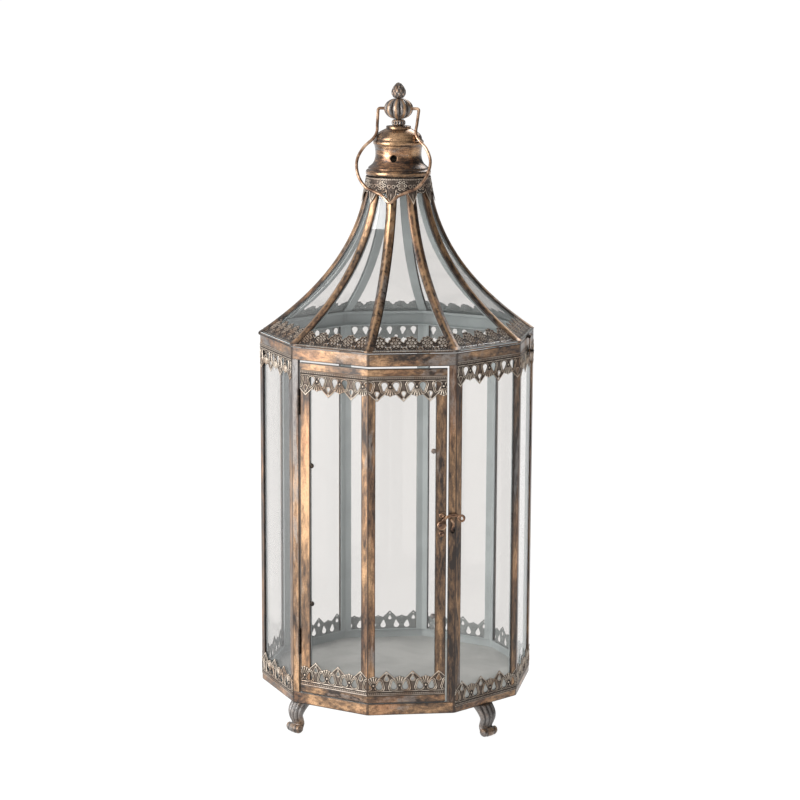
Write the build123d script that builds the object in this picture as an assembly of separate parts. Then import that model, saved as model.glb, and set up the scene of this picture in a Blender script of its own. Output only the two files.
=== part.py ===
from build123d import *
import os
from math import cos, hypot, radians, sin, tan

# Glass cloche: a ten-sided glazed case with a two-face front door, a lift-up ogee roof and a bail.
# Millimetres, +Z up, front corner toward -Y, origin on the floor at the centre of the four feet.

SIDES = 10
STEP = 360 / SIDES
HALF = STEP / 2
R_CASE = 165.0  # corner radius of the case
APOTHEM = R_CASE * cos(radians(HALF))
FACE_W = 2 * R_CASE * sin(radians(HALF))

FOOT_H = 38.0
BASE = FOOT_H  # underside of the base rim
BASE_H = 13.7
FLOOR_TOP = BASE + 2.6
TOP_RIM_Z = BASE + 412.5
TOP_RIM_H = 12.8
SHEET = 1.4  # rolled steel of the rims
RIM_LEDGE = 9.0
SILL = 4.8  # inner ledge of the base rim, under the bars and panes

LIP = 1.2  # outer and inner lips of the glazing bars
GLASS = 2.2
BAR_D = 2 * LIP + GLASS  # depth of a bar from its outer face
BAR_W = 8.8  # width of each leg of a corner bar
WEB = 3.0
PANE_EDGE = 3.5  # pane edge from the corner line

DOOR_GAP = 2.2
STILE_W = 12.8
DOOR_Z0, DOOR_Z1 = BASE + BASE_H + 0.8, BASE + 409.0
RAIL_H = 9.0
REBATE = 3.0
DOOR_EDGE = BAR_W + DOOR_GAP  # outer edge of the door from corner lines B and D

TRIM_T = 0.8  # pressed trim strip
TRIM_PITCH = 30.6
TRIM_PEAK, TRIM_FAN = 29.6, 23.4
LOWER_TRIM_Z, UPPER_TRIM_Z = BASE + 7.4, BASE + 416.0
DOOR_TRIM_Z = BASE + 23.8, BASE + 400.6
# x of one leaf on its face: case strips and door strips left and right, each at the foot and at the head
WALL_PEAK = -8.4, 15.3
LEFT_PEAK, RIGHT_PEAK = (11.3, -1.6), (1.9, -10.2)

PIN_R, PIN_GAP = 0.8, 0.05
KNUCKLE_R = 1.4
HINGE_OUT = 1.3  # door hinge axis proud of the face
HINGE_H = 30.0
HINGE_Z = (BASE + 76.0, BASE + 363.0)

CLIP_R = 3.0

LATCH_Z = BASE + 226.3
LATCH_S = 16.6  # door latch stud from corner line D
STUD_R, STUD_GAP, HOOK_R = 2.65, 0.06, 1.1
CATCH_S = 3.6

ROOF_Z = TOP_RIM_Z + TOP_RIM_H + 0.3
ROOF_RIM_H = 4.4
RIB_Z0, RIB_Z1 = ROOF_Z + ROOF_RIM_H, BASE + 596.0
ROOF_TOP_R, ROOF_RISE, ROOF_SPREAD = 38.5, 178.0, 127.3
RIB_W = 12.6
RIB_CROWN, PANE_IN = 1.2, 2.4
LID_PIN_R, LID_KNUCKLE_R, LID_OUT = 1.2, 2.4, 3.2
LID_HINGE_L = 76.0
HASP_Z, HASP_OUT = ROOF_Z + 2.3, 3.4

COLLAR_Z1 = BASE + 611.7
CAP_TOP = BASE + 672.6
NECK_Z1, MELON_Z1, TIP_Z = BASE + 680.2, BASE + 705.0, BASE + 723.5
MELON_R = 17.5
BAIL_Z, BAIL_R, BAIL_LEAN = BASE + 692.8, 1.8, 25.0


def turned(obj, degrees):
    return Rot(0, 0, degrees) * obj


def on_face(obj, k):
    """A shape made on a face that looks to -Y, moved to face k (0 is right of the front corner)."""
    return turned(obj, STEP * k + HALF)


def slab(x0, x1, depth0, depth1, z0, z1):
    """Box on the face that looks to -Y: x along it, depth inward from its outer plane."""
    return Pos((x0 + x1) / 2, (depth0 + depth1) / 2 - APOTHEM, (z0 + z1) / 2) * Box(
        x1 - x0, depth1 - depth0, z1 - z0
    )


def prism(points, z0, z1):
    return extrude(Plane.XY.offset(z0) * make_face(Polyline(*points, close=True)), z1 - z0)


def decagon(apothem, z0, z1):
    flat = RegularPolygon(apothem, SIDES, major_radius=False, rotation=HALF)
    return extrude(Plane.XY.offset(z0) * flat, z1 - z0)


def ring(depth0, depth1, z0, z1):
    return decagon(APOTHEM - depth0, z0, z1) - decagon(APOTHEM - depth1, z0 - 1, z1 + 1)


def solid_of(shape):
    """The one solid of a fused shape, cleaned of needless seams."""
    return shape.clean().solids()[0]


# ---------------------------------------------------------------- case


def plan_point(side, s, depth):
    """Plan position from the corner that points to -Y: s along the face on that side, depth inward."""
    a = radians(HALF)
    x, y = s * cos(a) - depth * sin(a), -R_CASE + s * sin(a) + depth * cos(a)
    return side * x, y


def bar_half(side, glazed):
    """Half the section of a corner bar, from its nose to its inner corner."""
    if not glazed:
        return [plan_point(side, BAR_W, 0), plan_point(side, BAR_W, BAR_D)]
    steps = [(BAR_W, 0), (BAR_W, LIP), (WEB, LIP), (WEB, LIP + GLASS), (BAR_W, LIP + GLASS)]
    return [plan_point(side, s, d) for s, d in steps + [(BAR_W, BAR_D)]]


def corner_bar(z0, z1, left=True, right=True):
    nose = [(0, -R_CASE)]
    inner = [(0, -R_CASE + BAR_D / cos(radians(HALF)))]
    points = nose + bar_half(1, right) + inner + bar_half(-1, left)[::-1]
    return prism(points, z0, z1)


def base_rim():
    wall = ring(0, SHEET, BASE, BASE + BASE_H)
    ledge = ring(0, SILL, BASE + BASE_H - SHEET, BASE + BASE_H)
    tray = ring(0, RIM_LEDGE + 6, BASE, BASE + SHEET)
    return solid_of(wall + ledge + tray)


def floor_plate():
    return solid_of(decagon(APOTHEM - SHEET - 0.1, BASE + SHEET, FLOOR_TOP))


def top_rim():
    wall = ring(0, SHEET, TOP_RIM_Z, TOP_RIM_Z + TOP_RIM_H)
    ledge = ring(0, RIM_LEDGE, TOP_RIM_Z, TOP_RIM_Z + SHEET)
    return solid_of(wall + ledge)


def corner_bars():
    bars = []
    for k in range(1, SIDES):
        bar = corner_bar(BASE + BASE_H, TOP_RIM_Z, left=k != 1, right=k != SIDES - 1)
        bars.append(turned(bar, STEP * k))
    return bars


def wall_pane():
    half = FACE_W / 2 - PANE_EDGE
    return slab(-half, half, LIP, LIP + GLASS, BASE + BASE_H, TOP_RIM_Z)


def foot():
    """Scroll foot looking to -Y: a side outline and a front outline, both carried through."""
    side_out = make_face(
        Line((-146, FOOT_H), (-164, FOOT_H))
        + Spline((-164, FOOT_H), (-165.5, 27), (-160, 15), (-166, 9.5), (-168.5, 4.5), (-164, 0))
        + Line((-164, 0), (-157, 0))
        + Spline((-157, 0), (-153.5, 6), (-152.5, 15), (-154, 25), (-146, FOOT_H))
    )
    front_out = make_face(
        Line((-13, FOOT_H), (13, FOOT_H))
        + Spline((13, FOOT_H), (12.0, 26), (9.2, 15), (10.8, 8), (10.6, 3), (8.5, 0))
        + Line((8.5, 0), (-8.5, 0))
        + Spline((-8.5, 0), (-10.6, 3), (-10.8, 8), (-9.2, 15), (-12.0, 26), (-13, FOOT_H))
    )
    body = extrude(Plane.YZ * side_out, 20, both=True)
    return solid_of(body & extrude(Plane.XZ * front_out, 200))


# ---------------------------------------------------------------- pressed trim


def trim_sheet(width0, width1, peak):
    """Flat trim strip, straight edge on y = 0: pointed leaves from x = peak, shells between them."""
    first = int((width0 - peak) // TRIM_PITCH) - 1
    places = [peak + TRIM_PITCH * i for i in range(first, first + 7)]
    half = TRIM_PITCH / 2
    flat = Pos((width0 + width1) / 2, 8) * Rectangle(width1 - width0, 16)
    holes = []
    for x in places:
        leaf = [(x - 8.6, 15), (x - 6.2, 21.5), (x, TRIM_PEAK), (x + 6.2, 21.5), (x + 8.6, 15)]
        flat += make_face(Polyline(*leaf, close=True))
        flat += Pos(x + half, TRIM_FAN - 7.8) * Circle(7.8)
        holes.append(Pos(x, 20.2) * Circle(2.3))
        for side in (-1, 1):
            holes.append(Pos(x + half + side * 7.4, 10.8) * Ellipse(3.2, 4.6))
    frame = Pos((width0 + width1) / 2, 15) * Rectangle(width1 - width0, 32)
    inside = [h for h in holes if width0 + 3.6 < h.center().X < width1 - 3.6]
    return (flat & frame) - inside


def trim(width0, width1, peak, z, upward):
    """Trim strip on the outside of the face that looks to -Y."""
    flat = trim_sheet(width0, width1, peak)
    at = Plane(origin=(0, -APOTHEM, z), x_dir=(1, 0, 0), z_dir=(0, -1, 0))
    if not upward:
        flat = mirror(flat, Plane.XZ)
    sheet = extrude(at * flat, TRIM_T)
    if sheet.bounding_box().max.Y > -APOTHEM + 0.01:
        sheet = extrude(at * flat, -TRIM_T)
    return solid_of(sheet)


def wall_trims(z, peak, upward):
    half = FACE_W / 2 - 0.8
    strip = trim(-half, half, peak, z, upward)
    return [on_face(strip, k) for k in range(1, SIDES - 1)]


# ---------------------------------------------------------------- door


def door_path(s0, depth0, depth1):
    """Plan outline across both door faces, from s0 off corner B to s0 off corner D."""
    outer = []
    for side, k in ((-1, SIDES - 1), (1, 0)):
        x = side * (FACE_W / 2 - s0)
        a = radians(STEP * k + HALF)
        for depth in (depth0, depth1):
            y = depth - APOTHEM
            outer.append((x * cos(a) - y * sin(a), x * sin(a) + y * cos(a)))
    nose = [(0, -R_CASE + d / cos(radians(HALF))) for d in (depth0, depth1)]
    return [outer[0], nose[0], outer[2], outer[3], nose[1], outer[1]]


def door_rail(z0, z1, slot0, slot1):
    rail = prism(door_path(DOOR_EDGE, 0, BAR_D), z0, z1)
    slot = prism(door_path(DOOR_EDGE + STILE_W - REBATE, LIP, LIP + GLASS), slot0, slot1)
    return solid_of(rail - slot)


def door_stile(side, k):
    """Stile at the hinge (side -1, face 9) or latch (side 1, face 0) edge, rebated for the glass."""
    edge = side * (FACE_W / 2 - DOOR_EDGE)
    inner = edge - side * STILE_W
    z0, z1 = DOOR_Z0 + RAIL_H, DOOR_Z1 - RAIL_H
    bar = slab(min(edge, inner), max(edge, inner), 0, BAR_D, z0, z1)
    lip = inner + side * REBATE
    bar -= slab(min(lip, inner), max(lip, inner), LIP, LIP + GLASS, z0 - 1, z1 + 1)
    return on_face(solid_of(bar), k)


def door_pane(side, k):
    """Pane between the stile on that side and the middle bar, its edges in their rebates."""
    outer = FACE_W / 2 - DOOR_EDGE - STILE_W + REBATE - 0.3
    inner = FACE_W / 2 - PANE_EDGE
    x0, x1 = (-outer, inner) if side < 0 else (-inner, outer)
    z0, z1 = DOOR_Z0 + RAIL_H - REBATE + 0.3, DOOR_Z1 - RAIL_H + REBATE - 0.3
    return on_face(slab(x0, x1, LIP, LIP + GLASS, z0, z1), k)


def door_trims(end):
    z, upward = DOOR_TRIM_Z[end], end == 0
    edge = FACE_W / 2 - DOOR_EDGE
    left = trim(-edge + 0.6, FACE_W / 2 - 0.8, LEFT_PEAK[end], z, upward)
    right = trim(-FACE_W / 2 + 0.8, edge - 0.6, RIGHT_PEAK[end], z, upward)
    return [on_face(left, SIDES - 1), on_face(right, 0)]


def barrel(x, y, z0, z1, radius, bore):
    tube = Pos(x, y, (z0 + z1) / 2) * Cylinder(radius, z1 - z0)
    return tube - Pos(x, y, (z0 + z1) / 2) * Cylinder(bore, z1 - z0 + 2)


def door_hinge(z):
    """Fixed leaf, moving leaf and pin of one butt hinge in the gap at corner B (face 9)."""
    x = -FACE_W / 2 + BAR_W + DOOR_GAP / 2
    y = -APOTHEM - HINGE_OUT
    z0, z1 = z - HINGE_H / 2, z + HINGE_H / 2
    third = HINGE_H / 3
    leaf_in = BAR_D - 0.6
    fixed = slab(x - DOOR_GAP / 2, x - DOOR_GAP / 2 + 0.6, -HINGE_OUT, leaf_in, z0, z1)
    fixed -= slab(x - 3, x + 3, -9, 0.35, z0 + third - 0.2, z1 - third + 0.2)
    fixed += barrel(x, y, z0, z0 + third - 0.2, KNUCKLE_R, PIN_R)
    fixed += barrel(x, y, z1 - third + 0.2, z1, KNUCKLE_R, PIN_R)
    moving = slab(x + DOOR_GAP / 2 - 0.6, x + DOOR_GAP / 2, -HINGE_OUT, leaf_in, z0, z1)
    moving -= slab(x - 3, x + 3, -9, 0.35, z0 - 1, z0 + third)
    moving -= slab(x - 3, x + 3, -9, 0.35, z1 - third, z1 + 1)
    moving += barrel(x, y, z0 + third, z1 - third, KNUCKLE_R, PIN_R + PIN_GAP)
    clear = Pos(x, y, z) * Cylinder(PIN_R + PIN_GAP, HINGE_H + 4)
    moving -= clear
    fixed -= Pos(x, y, z) * Cylinder(PIN_R, HINGE_H + 4)
    pin = Pos(x, y, z) * Cylinder(PIN_R, HINGE_H + 2)
    return [on_face(part, SIDES - 1) for part in (solid_of(fixed), solid_of(moving), pin)]


def glass_clips():
    """Round-headed clips that hold the door panes, on the inner edges of the stiles."""
    clips = []
    for side, k, z in ((-1, 9, BASE + 289), (-1, 9, BASE + 124), (1, 0, BASE + 313), (1, 0, BASE + 118)):
        x = side * (FACE_W / 2 - DOOR_EDGE - STILE_W - CLIP_R - 0.05)
        clips.append(on_face(Pos(x, LIP - 1.0 - APOTHEM, z) * Rot(90, 0, 0) * Cylinder(CLIP_R, 2.0), k))
    return clips


def outward(x, z, out0, out1, radius):
    """Round bar standing off the face that looks to -Y."""
    return Pos(x, -APOTHEM - (out0 + out1) / 2, z) * Rot(90, 0, 0) * Cylinder(radius, out1 - out0)


def door_latch_plate():
    x = FACE_W / 2 - LATCH_S
    return on_face(slab(x - 5, x + 5, -0.8, 0, LATCH_Z - 15, LATCH_Z + 15.5), 0)


def door_latch_stud():
    x = FACE_W / 2 - LATCH_S
    stud = outward(x, LATCH_Z, 0.8, 5.6, STUD_R) + outward(x, LATCH_Z, 5.6, 6.6, STUD_R + 1.0)
    return on_face(solid_of(stud), 0)


def door_latch_rivets():
    x = FACE_W / 2 - LATCH_S
    return [on_face(outward(x, LATCH_Z + dz, 0.8, 1.9, 3.2), 0) for dz in (-10.4, 11.0)]


def door_catch():
    """Bent strip on corner bar D with a pocket that the hook drops into."""
    x = FACE_W / 2 - CATCH_S
    strip = slab(x - 3, x + 3, -0.8, 0, LATCH_Z - 12, LATCH_Z + 10)
    strip += slab(x - 3, x + 3, -6.2, 0, LATCH_Z + 9.2, LATCH_Z + 10)
    strip += slab(x - 3, x + 3, -6.2, -5.4, LATCH_Z + 9.2, LATCH_Z + 14)
    return on_face(solid_of(strip), 0)


def door_catch_rivet():
    return on_face(outward(FACE_W / 2 - CATCH_S, LATCH_Z - 7.6, 0.8, 1.9, 2.9), 0)


def door_hook():
    """Wire hook: an eye round the stud, a shank arched over the catch and a finger ring."""
    x, out = FACE_W / 2 - LATCH_S, APOTHEM + 3.1
    eye_r = STUD_R + STUD_GAP + HOOK_R
    at = Plane(origin=(x, -out, LATCH_Z), x_dir=(1, 0, 0), z_dir=(0, -1, 0))
    eye = at * Torus(eye_r, HOOK_R)
    shank = Spline((0, eye_r), (6, 9.5), (13, 11.6), (19.5, 10.4), tangents=((1, 0.2), (1, -0.55)))
    path = at.location * shank
    section = Plane(origin=path @ 0, z_dir=path % 0) * Circle(HOOK_R)
    finger = at * Pos(22.4, 8.0) * Torus(3.4, HOOK_R)
    return on_face(solid_of(eye + sweep(section, path) + finger), 0)


# ---------------------------------------------------------------- roof


def roof_radius(z):
    """Corner radius of the roof's outermost line: a curve that flares toward the eaves."""
    u = (BASE + 608.0 - z) / ROOF_RISE
    return ROOF_TOP_R + ROOF_SPREAD * (0.19 * u + 0.54 * u**2 + 0.27 * u**3)


def roof_line(depth, count=8):
    """Points of the face's middle line on the YZ plane, depth inward square to it."""
    points = []
    for i in range(count):
        z = RIB_Z0 - 5 + (RIB_Z1 - RIB_Z0 + 10) * i / (count - 1)
        slope = (roof_radius(z + 0.5) - roof_radius(z - 0.5)) * cos(radians(HALF))
        norm = hypot(1, slope)
        y = roof_radius(z) * cos(radians(HALF)) - depth / norm
        points.append((-y, z + depth * slope / norm))
    return points


def roof_strip(depth0, depth1, z0=RIB_Z0, z1=RIB_Z1, width=120):
    """Curved sheet between two depths under the roof line, trimmed level at z0 and z1."""
    outer, inner = roof_line(depth0), roof_line(depth1)
    edge = Spline(*outer) + Line(outer[-1], inner[-1]) + Spline(*inner[::-1]) + Line(inner[0], outer[0])
    strip = extrude(Plane.YZ * make_face(edge), width / 2, both=True)
    return strip & Pos(0, -100, (z0 + z1) / 2) * Box(width + 2, 300, z1 - z0)


def wedge(inset, z0, z1):
    """Plan wedge of one face, its sides inset from the corner planes."""
    a = radians(HALF)
    far = 220.0
    tip = inset / sin(a)
    half = (far - tip) * tan(a)
    return prism([(0, -tip), (half, -far), (-half, -far)], z0, z1)


def rib():
    """Glazing rib at the corner that looks to -Y: outer and inner lips, web and rounded crown."""
    half_w = RIB_W / 2
    parts = None
    for depth0, depth1, width in (
        (RIB_CROWN, PANE_IN, half_w),
        (RIB_CROWN, PANE_IN + GLASS + LIP, WEB - 0.4),
        (PANE_IN + GLASS, PANE_IN + GLASS + LIP, half_w - 1.2),
        (0.2, RIB_CROWN, half_w - 2.6),
    ):
        strip = turned(roof_strip(depth0, depth1), HALF)
        strip &= Pos(width / 2, -100, (RIB_Z0 + RIB_Z1) / 2) * Box(width, 300, RIB_Z1 - RIB_Z0)
        parts = strip if parts is None else parts + strip
    whole = parts + mirror(parts, Plane.YZ)
    return solid_of(whole)


def roof_pane():
    return solid_of(roof_strip(PANE_IN, PANE_IN + GLASS) & wedge(WEB, RIB_Z0 - 1, RIB_Z1 + 1))


def roof_rim():
    wall = ring(0, SHEET, ROOF_Z, ROOF_Z + ROOF_RIM_H)
    ledge = ring(0, RIM_LEDGE, ROOF_Z + ROOF_RIM_H - SHEET, ROOF_Z + ROOF_RIM_H)
    return solid_of(wall + ledge)


def roof_trim():
    """Scalloped strip that lies on the foot of one roof face."""
    z0, z1 = RIB_Z0 + 0.3, RIB_Z0 + 17.0
    strip = roof_strip(RIB_CROWN, PANE_IN, z0, z1) & wedge(RIB_W / 2 + 0.3, z0 - 1, z1 + 1)
    outline = Pos(0, z0 + 4) * Rectangle(96, 12)
    for i in range(-2, 3):
        outline += Pos(i * 17.0, z1 - 8.6) * Circle(8.5)
    at = Plane(origin=(0, -APOTHEM, 0), x_dir=(1, 0, 0), z_dir=(0, -1, 0))
    return solid_of(strip & extrude(at * outline, 80, both=True))


def collar():
    """Tapered ring under the cap that the tops of the ribs butt against."""
    section = [(34, COLLAR_Z1), (37.6, COLLAR_Z1), (40.2, RIB_Z1), (33, RIB_Z1)]
    return solid_of(revolve(Plane.XZ * make_face(Polyline(*section, close=True)), Axis.Z))


def collar_trim():
    """Pressed lace sleeve round the collar, with a pointed leaf hanging over each rib."""
    low = RIB_Z1 - 15.0
    drop = roof_radius(low) + 0.35
    mid = roof_radius(RIB_Z1) + 0.35
    inner = [(37.9, COLLAR_Z1 - 0.2), (mid, RIB_Z1), (drop, low)]
    outer = [(drop + 0.9, low), (mid + 0.9, RIB_Z1), (38.7, COLLAR_Z1 - 0.2)]
    sleeve = revolve(Plane.XZ * make_face(Polyline(*inner, *outer, close=True)), Axis.Z)
    keep = Pos(0, 0, (COLLAR_Z1 + RIB_Z1) / 2) * Cylinder(70, COLLAR_Z1 - RIB_Z1 + 1.4)
    leaf = Polyline((-6.5, RIB_Z1 + 2), (6.5, RIB_Z1 + 2), (4.5, low + 8), (0, low), (-4.5, low + 8), close=True)
    spike = extrude(Plane(origin=(0, 0, 0), x_dir=(1, 0, 0), z_dir=(0, -1, 0)) * make_face(leaf), 80)
    for k in range(SIDES):
        keep += turned(spike, STEP * k)
    return solid_of(sleeve & keep)


def cap():
    """Spun cap: flange bead, hollow waist, shoulder bead, dome and top disc, with two vents."""
    b = BASE
    outer = (
        Line((34, b + 611.7), (36.6, b + 611.7))
        + ThreePointArc((36.6, b + 611.7), (38.7, b + 615.3), (36.6, b + 619))
        + Spline((36.6, b + 619), (34.4, b + 622), (28.6, b + 628.5), (27.3, b + 637.7), (28.6, b + 648.5))
        + ThreePointArc((28.6, b + 648.5), (30.0, b + 651.7), (28.6, b + 655))
        + Spline((28.6, b + 655), (26.6, b + 660.5), (20.8, b + 666), (14.6, b + 669.2))
        + Polyline((14.6, b + 669.2), (14.6, CAP_TOP), (3, CAP_TOP), (3, b + 668), (12.5, b + 668))
        + Polyline((12.5, b + 668), (25.5, b + 656), (25.8, b + 634), (34, b + 618), (34, b + 611.7))
    )
    body = revolve(Plane.XZ * make_face(outer), Axis.Z)
    vent = Pos(0, 0, b + 633.5) * Rot(90, 0, 0) * Cylinder(4.25, 90)
    return solid_of(body - vent)


def neck_bead():
    mid = (CAP_TOP + NECK_Z1) / 2
    section = Line((3, CAP_TOP), (5, CAP_TOP)) + Line((5, NECK_Z1), (3, NECK_Z1))
    section += ThreePointArc((5, CAP_TOP), (8.4, mid), (5, NECK_Z1))
    section += Line((3, NECK_Z1), (3, CAP_TOP))
    return solid_of(revolve(Plane.XZ * make_face(section), Axis.Z))


def finial_rod():
    """Threaded rod that draws the cap, bead and melon together."""
    return Pos(0, 0, (BASE + 664 + MELON_Z1 - 14) / 2) * Cylinder(3, MELON_Z1 - 14 - BASE - 664)


def melon():
    """Gadrooned ball: ten lobes round an oval body, drilled on both sides for the bail."""
    mid = (NECK_Z1 + MELON_Z1) / 2
    half_h = (MELON_Z1 - NECK_Z1) / 2
    body = Pos(0, 0, mid) * Sphere(MELON_R) & Pos(0, 0, mid) * Cylinder(MELON_R, 2 * half_h)
    body -= Pos(0, 0, NECK_Z1 + 5) * Cylinder(3, 12)
    bore = Rot(0, 90, 0) * Cylinder(BAIL_R + 0.06, 10)
    for side in (-1, 1):
        body -= Pos(side * 18.2, 0, BAIL_Z) * bore
    return solid_of(body)


def bud():
    section = Line((0, MELON_Z1), (5, MELON_Z1)) + Line((0, TIP_Z), (0, MELON_Z1))
    section += Spline(
        (5, MELON_Z1), (9, MELON_Z1 + 6.3), (5.6, MELON_Z1 + 14.2), (0, TIP_Z),
        tangents=((0.8, 0.6), (-1, 0.15)),
    )
    return solid_of(revolve(Plane.XZ * make_face(section), Axis.Z))


def bail():
    """Wire bail: two pins in the melon, straight arms, a round loop and a small pointed dip."""
    arm = FilletPolyline((13.6, 0), (24.4, 0), (23.4, -29.5), radius=3)
    loop = Spline(
        (23.4, -29.5), (27, -38), (37.8, -50), (43.9, -66), (40.8, -84),
        (31.2, -98), (19.6, -104), (9.6, -109), (0, -117.5),
        tangents=(arm % 1, (-1, 0)),
    )
    lean = radians(BAIL_LEAN)
    at = Plane(origin=(0, 0, BAIL_Z), x_dir=(1, 0, 0), z_dir=(0, -cos(lean), sin(lean)))
    path = Wire([at.location * edge for edge in arm.edges() + loop.edges()])
    half = sweep(Plane(origin=path @ 0, z_dir=path % 0) * Circle(BAIL_R), path)
    return solid_of(half + mirror(half, Plane.YZ))


# ---------------------------------------------------------------- roof hardware (at the sides, X)


def lid_hinge():
    """Fixed leaf, moving leaf and pin of the long roof hinge, made on the face that looks to -Y."""
    y, z = -APOTHEM - LID_OUT, ROOF_Z - 0.2
    fifth = LID_HINGE_L / 5
    half = LID_HINGE_L / 2
    along = Pos(0, y, z) * Rot(0, 90, 0)

    def knuckle(i, bore):
        x = -half + fifth * (i + 0.5)
        tube = Cylinder(LID_KNUCKLE_R, fifth - 0.4) - Cylinder(bore, fifth + 2)
        return Pos(x, 0, 0) * along * tube

    def leaf(i, z0, z1, step):
        x0, x1 = -half + fifth * i + 0.2, -half + fifth * (i + 1) - 0.2
        plate = slab(x0, x1, -0.8 if step else -LID_OUT, 0 if step else -0.1, z0, z1)
        return plate

    fixed = slab(-half, half, -0.8, 0, UPPER_TRIM_Z + 0.4, ROOF_Z - 3.4)
    moving = slab(-half, half, -0.8, 0, ROOF_Z + 2.6, ROOF_Z + ROOF_RIM_H)
    for i in range(5):
        if i % 2 == 0:
            fixed += knuckle(i, LID_PIN_R) + leaf(i, ROOF_Z - 4.4, ROOF_Z - 1.6, False)
        else:
            moving += knuckle(i, LID_PIN_R + PIN_GAP) + leaf(i, ROOF_Z + 1.2, ROOF_Z + 3.6, False)
    fixed -= along * Cylinder(LID_PIN_R, LID_HINGE_L + 4)
    moving -= along * Cylinder(LID_PIN_R + PIN_GAP, LID_HINGE_L + 4)
    pin = along * Cylinder(LID_PIN_R, LID_HINGE_L + 3)
    return [turned(part, -90) for part in (solid_of(fixed), solid_of(moving), pin)]


def hasp_plate():
    """Plate on the roof rim with a knuckle on each side of the hasp."""
    plate = slab(-8, 8, -0.8, 0, ROOF_Z + 0.3, ROOF_Z + ROOF_RIM_H)
    for side in (-1, 1):
        x0 = 4.2 if side > 0 else -7.8
        plate += slab(x0, x0 + 3.6, -HASP_OUT, 0, HASP_Z - 1.0, HASP_Z + 1.0)
        plate += Pos(x0 + 1.8, -APOTHEM - HASP_OUT, HASP_Z) * Rot(0, 90, 0) * Cylinder(1.9, 3.6)
    plate -= Pos(0, -APOTHEM - HASP_OUT, HASP_Z) * Rot(0, 90, 0) * Cylinder(0.9, 30)
    return turned(solid_of(plate), 90)


def hasp_pin():
    return turned(Pos(0, -APOTHEM - HASP_OUT, HASP_Z) * Rot(0, 90, 0) * Cylinder(0.9, 16.4), 90)


def hasp():
    """Strip that hangs from the roof rim over the stud on the case."""
    y0, y1 = -HASP_OUT - 0.6, -HASP_OUT + 0.6
    strip = slab(-3.6, 3.6, y0, y1, HASP_Z - 22, HASP_Z - 1.0)
    strip += Pos(0, -APOTHEM - HASP_OUT, HASP_Z - 22) * Rot(90, 0, 0) * Cylinder(3.6, 1.2)
    strip += Pos(0, -APOTHEM - HASP_OUT, HASP_Z) * Rot(0, 90, 0) * Cylinder(1.8, 7.8)
    strip -= Pos(0, -APOTHEM - HASP_OUT, HASP_Z) * Rot(0, 90, 0) * Cylinder(0.95, 30)
    strip -= outward(0, HASP_Z - 19.0, 0, 12, 2.5)
    strip -= outward(0, HASP_Z - 16.6, 0, 12, 2.5)
    return turned(solid_of(strip), 90)


def hasp_stud():
    z = HASP_Z - 17.8
    stud = outward(0, z, TRIM_T, 8.2, 1.6) + outward(0, z, TRIM_T, 1.8, 3.4)
    return turned(solid_of(stud), 90)


# ---------------------------------------------------------------- write


def save(name, *solids):
    shape = solids[0] if len(solids) == 1 else Compound(children=list(solids))
    export_step(shape, f"parts/{name}.step")


def main():
    os.makedirs("parts", exist_ok=True)
    save("base_rim", base_rim())
    save("floor_plate", floor_plate())
    feet = ("front_left", "front_right", "rear_right", "rear_left")
    for name, azimuth in zip(feet, (-36, 54, 144, 234)):
        save(f"foot_{name}", turned(foot(), azimuth))
    save("corner_bars", *corner_bars())
    pane = wall_pane()
    for k in range(1, SIDES - 1):
        save(f"wall_pane_{k}", on_face(pane, k))
    save("top_rim", top_rim())
    save("lower_trim", *wall_trims(LOWER_TRIM_Z, WALL_PEAK[0], True))
    save("upper_trim", *wall_trims(UPPER_TRIM_Z, WALL_PEAK[1], False))

    save("door_hinge_stile", door_stile(-1, SIDES - 1))
    save("door_latch_stile", door_stile(1, 0))
    save("door_middle_bar", corner_bar(DOOR_Z0 + RAIL_H, DOOR_Z1 - RAIL_H))
    low_slot = DOOR_Z0 + RAIL_H - REBATE
    save("door_bottom_rail", door_rail(DOOR_Z0, DOOR_Z0 + RAIL_H, low_slot, low_slot + 9))
    top_slot = DOOR_Z1 - RAIL_H + REBATE
    save("door_top_rail", door_rail(DOOR_Z1 - RAIL_H, DOOR_Z1, top_slot - 9, top_slot))
    save("door_pane_left", door_pane(-1, SIDES - 1))
    save("door_pane_right", door_pane(1, 0))
    save("door_lower_trim", *door_trims(0))
    save("door_upper_trim", *door_trims(1))
    low, high = door_hinge(HINGE_Z[0]), door_hinge(HINGE_Z[1])
    for i, name in enumerate(("door_hinge_fixed_leaves", "door_hinge_moving_leaves", "door_hinge_pins")):
        save(name, low[i], high[i])
    save("door_glass_clips", *glass_clips())
    save("door_latch_plate", door_latch_plate())
    save("door_latch_stud", door_latch_stud())
    save("door_latch_rivets", *door_latch_rivets())
    save("door_catch", door_catch())
    save("door_catch_rivet", door_catch_rivet())
    save("door_hook", door_hook())

    save("roof_rim", roof_rim())
    one_rib, one_pane, one_trim = rib(), roof_pane(), roof_trim()
    save("roof_ribs", *[turned(one_rib, STEP * k) for k in range(SIDES)])
    save("roof_panes", *[on_face(one_pane, k) for k in range(SIDES)])
    save("roof_trim", *[on_face(one_trim, k) for k in range(SIDES)])
    for name, make in (
        ("roof_collar", collar), ("collar_trim", collar_trim), ("roof_cap", cap),
        ("neck_bead", neck_bead), ("finial_rod", finial_rod), ("finial_melon", melon),
        ("finial_bud", bud), ("bail", bail), ("roof_hasp_plate", hasp_plate),
        ("roof_hasp_pin", hasp_pin), ("roof_hasp", hasp), ("roof_hasp_stud", hasp_stud),
    ):
        save(name, make())
    names = ("roof_hinge_fixed_leaf", "roof_hinge_moving_leaf", "roof_hinge_pin")
    for name, part in zip(names, lid_hinge()):
        save(name, part)


main()
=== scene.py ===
from functools import partial
from math import cos, pi, radians, sin, sqrt, tan

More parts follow.
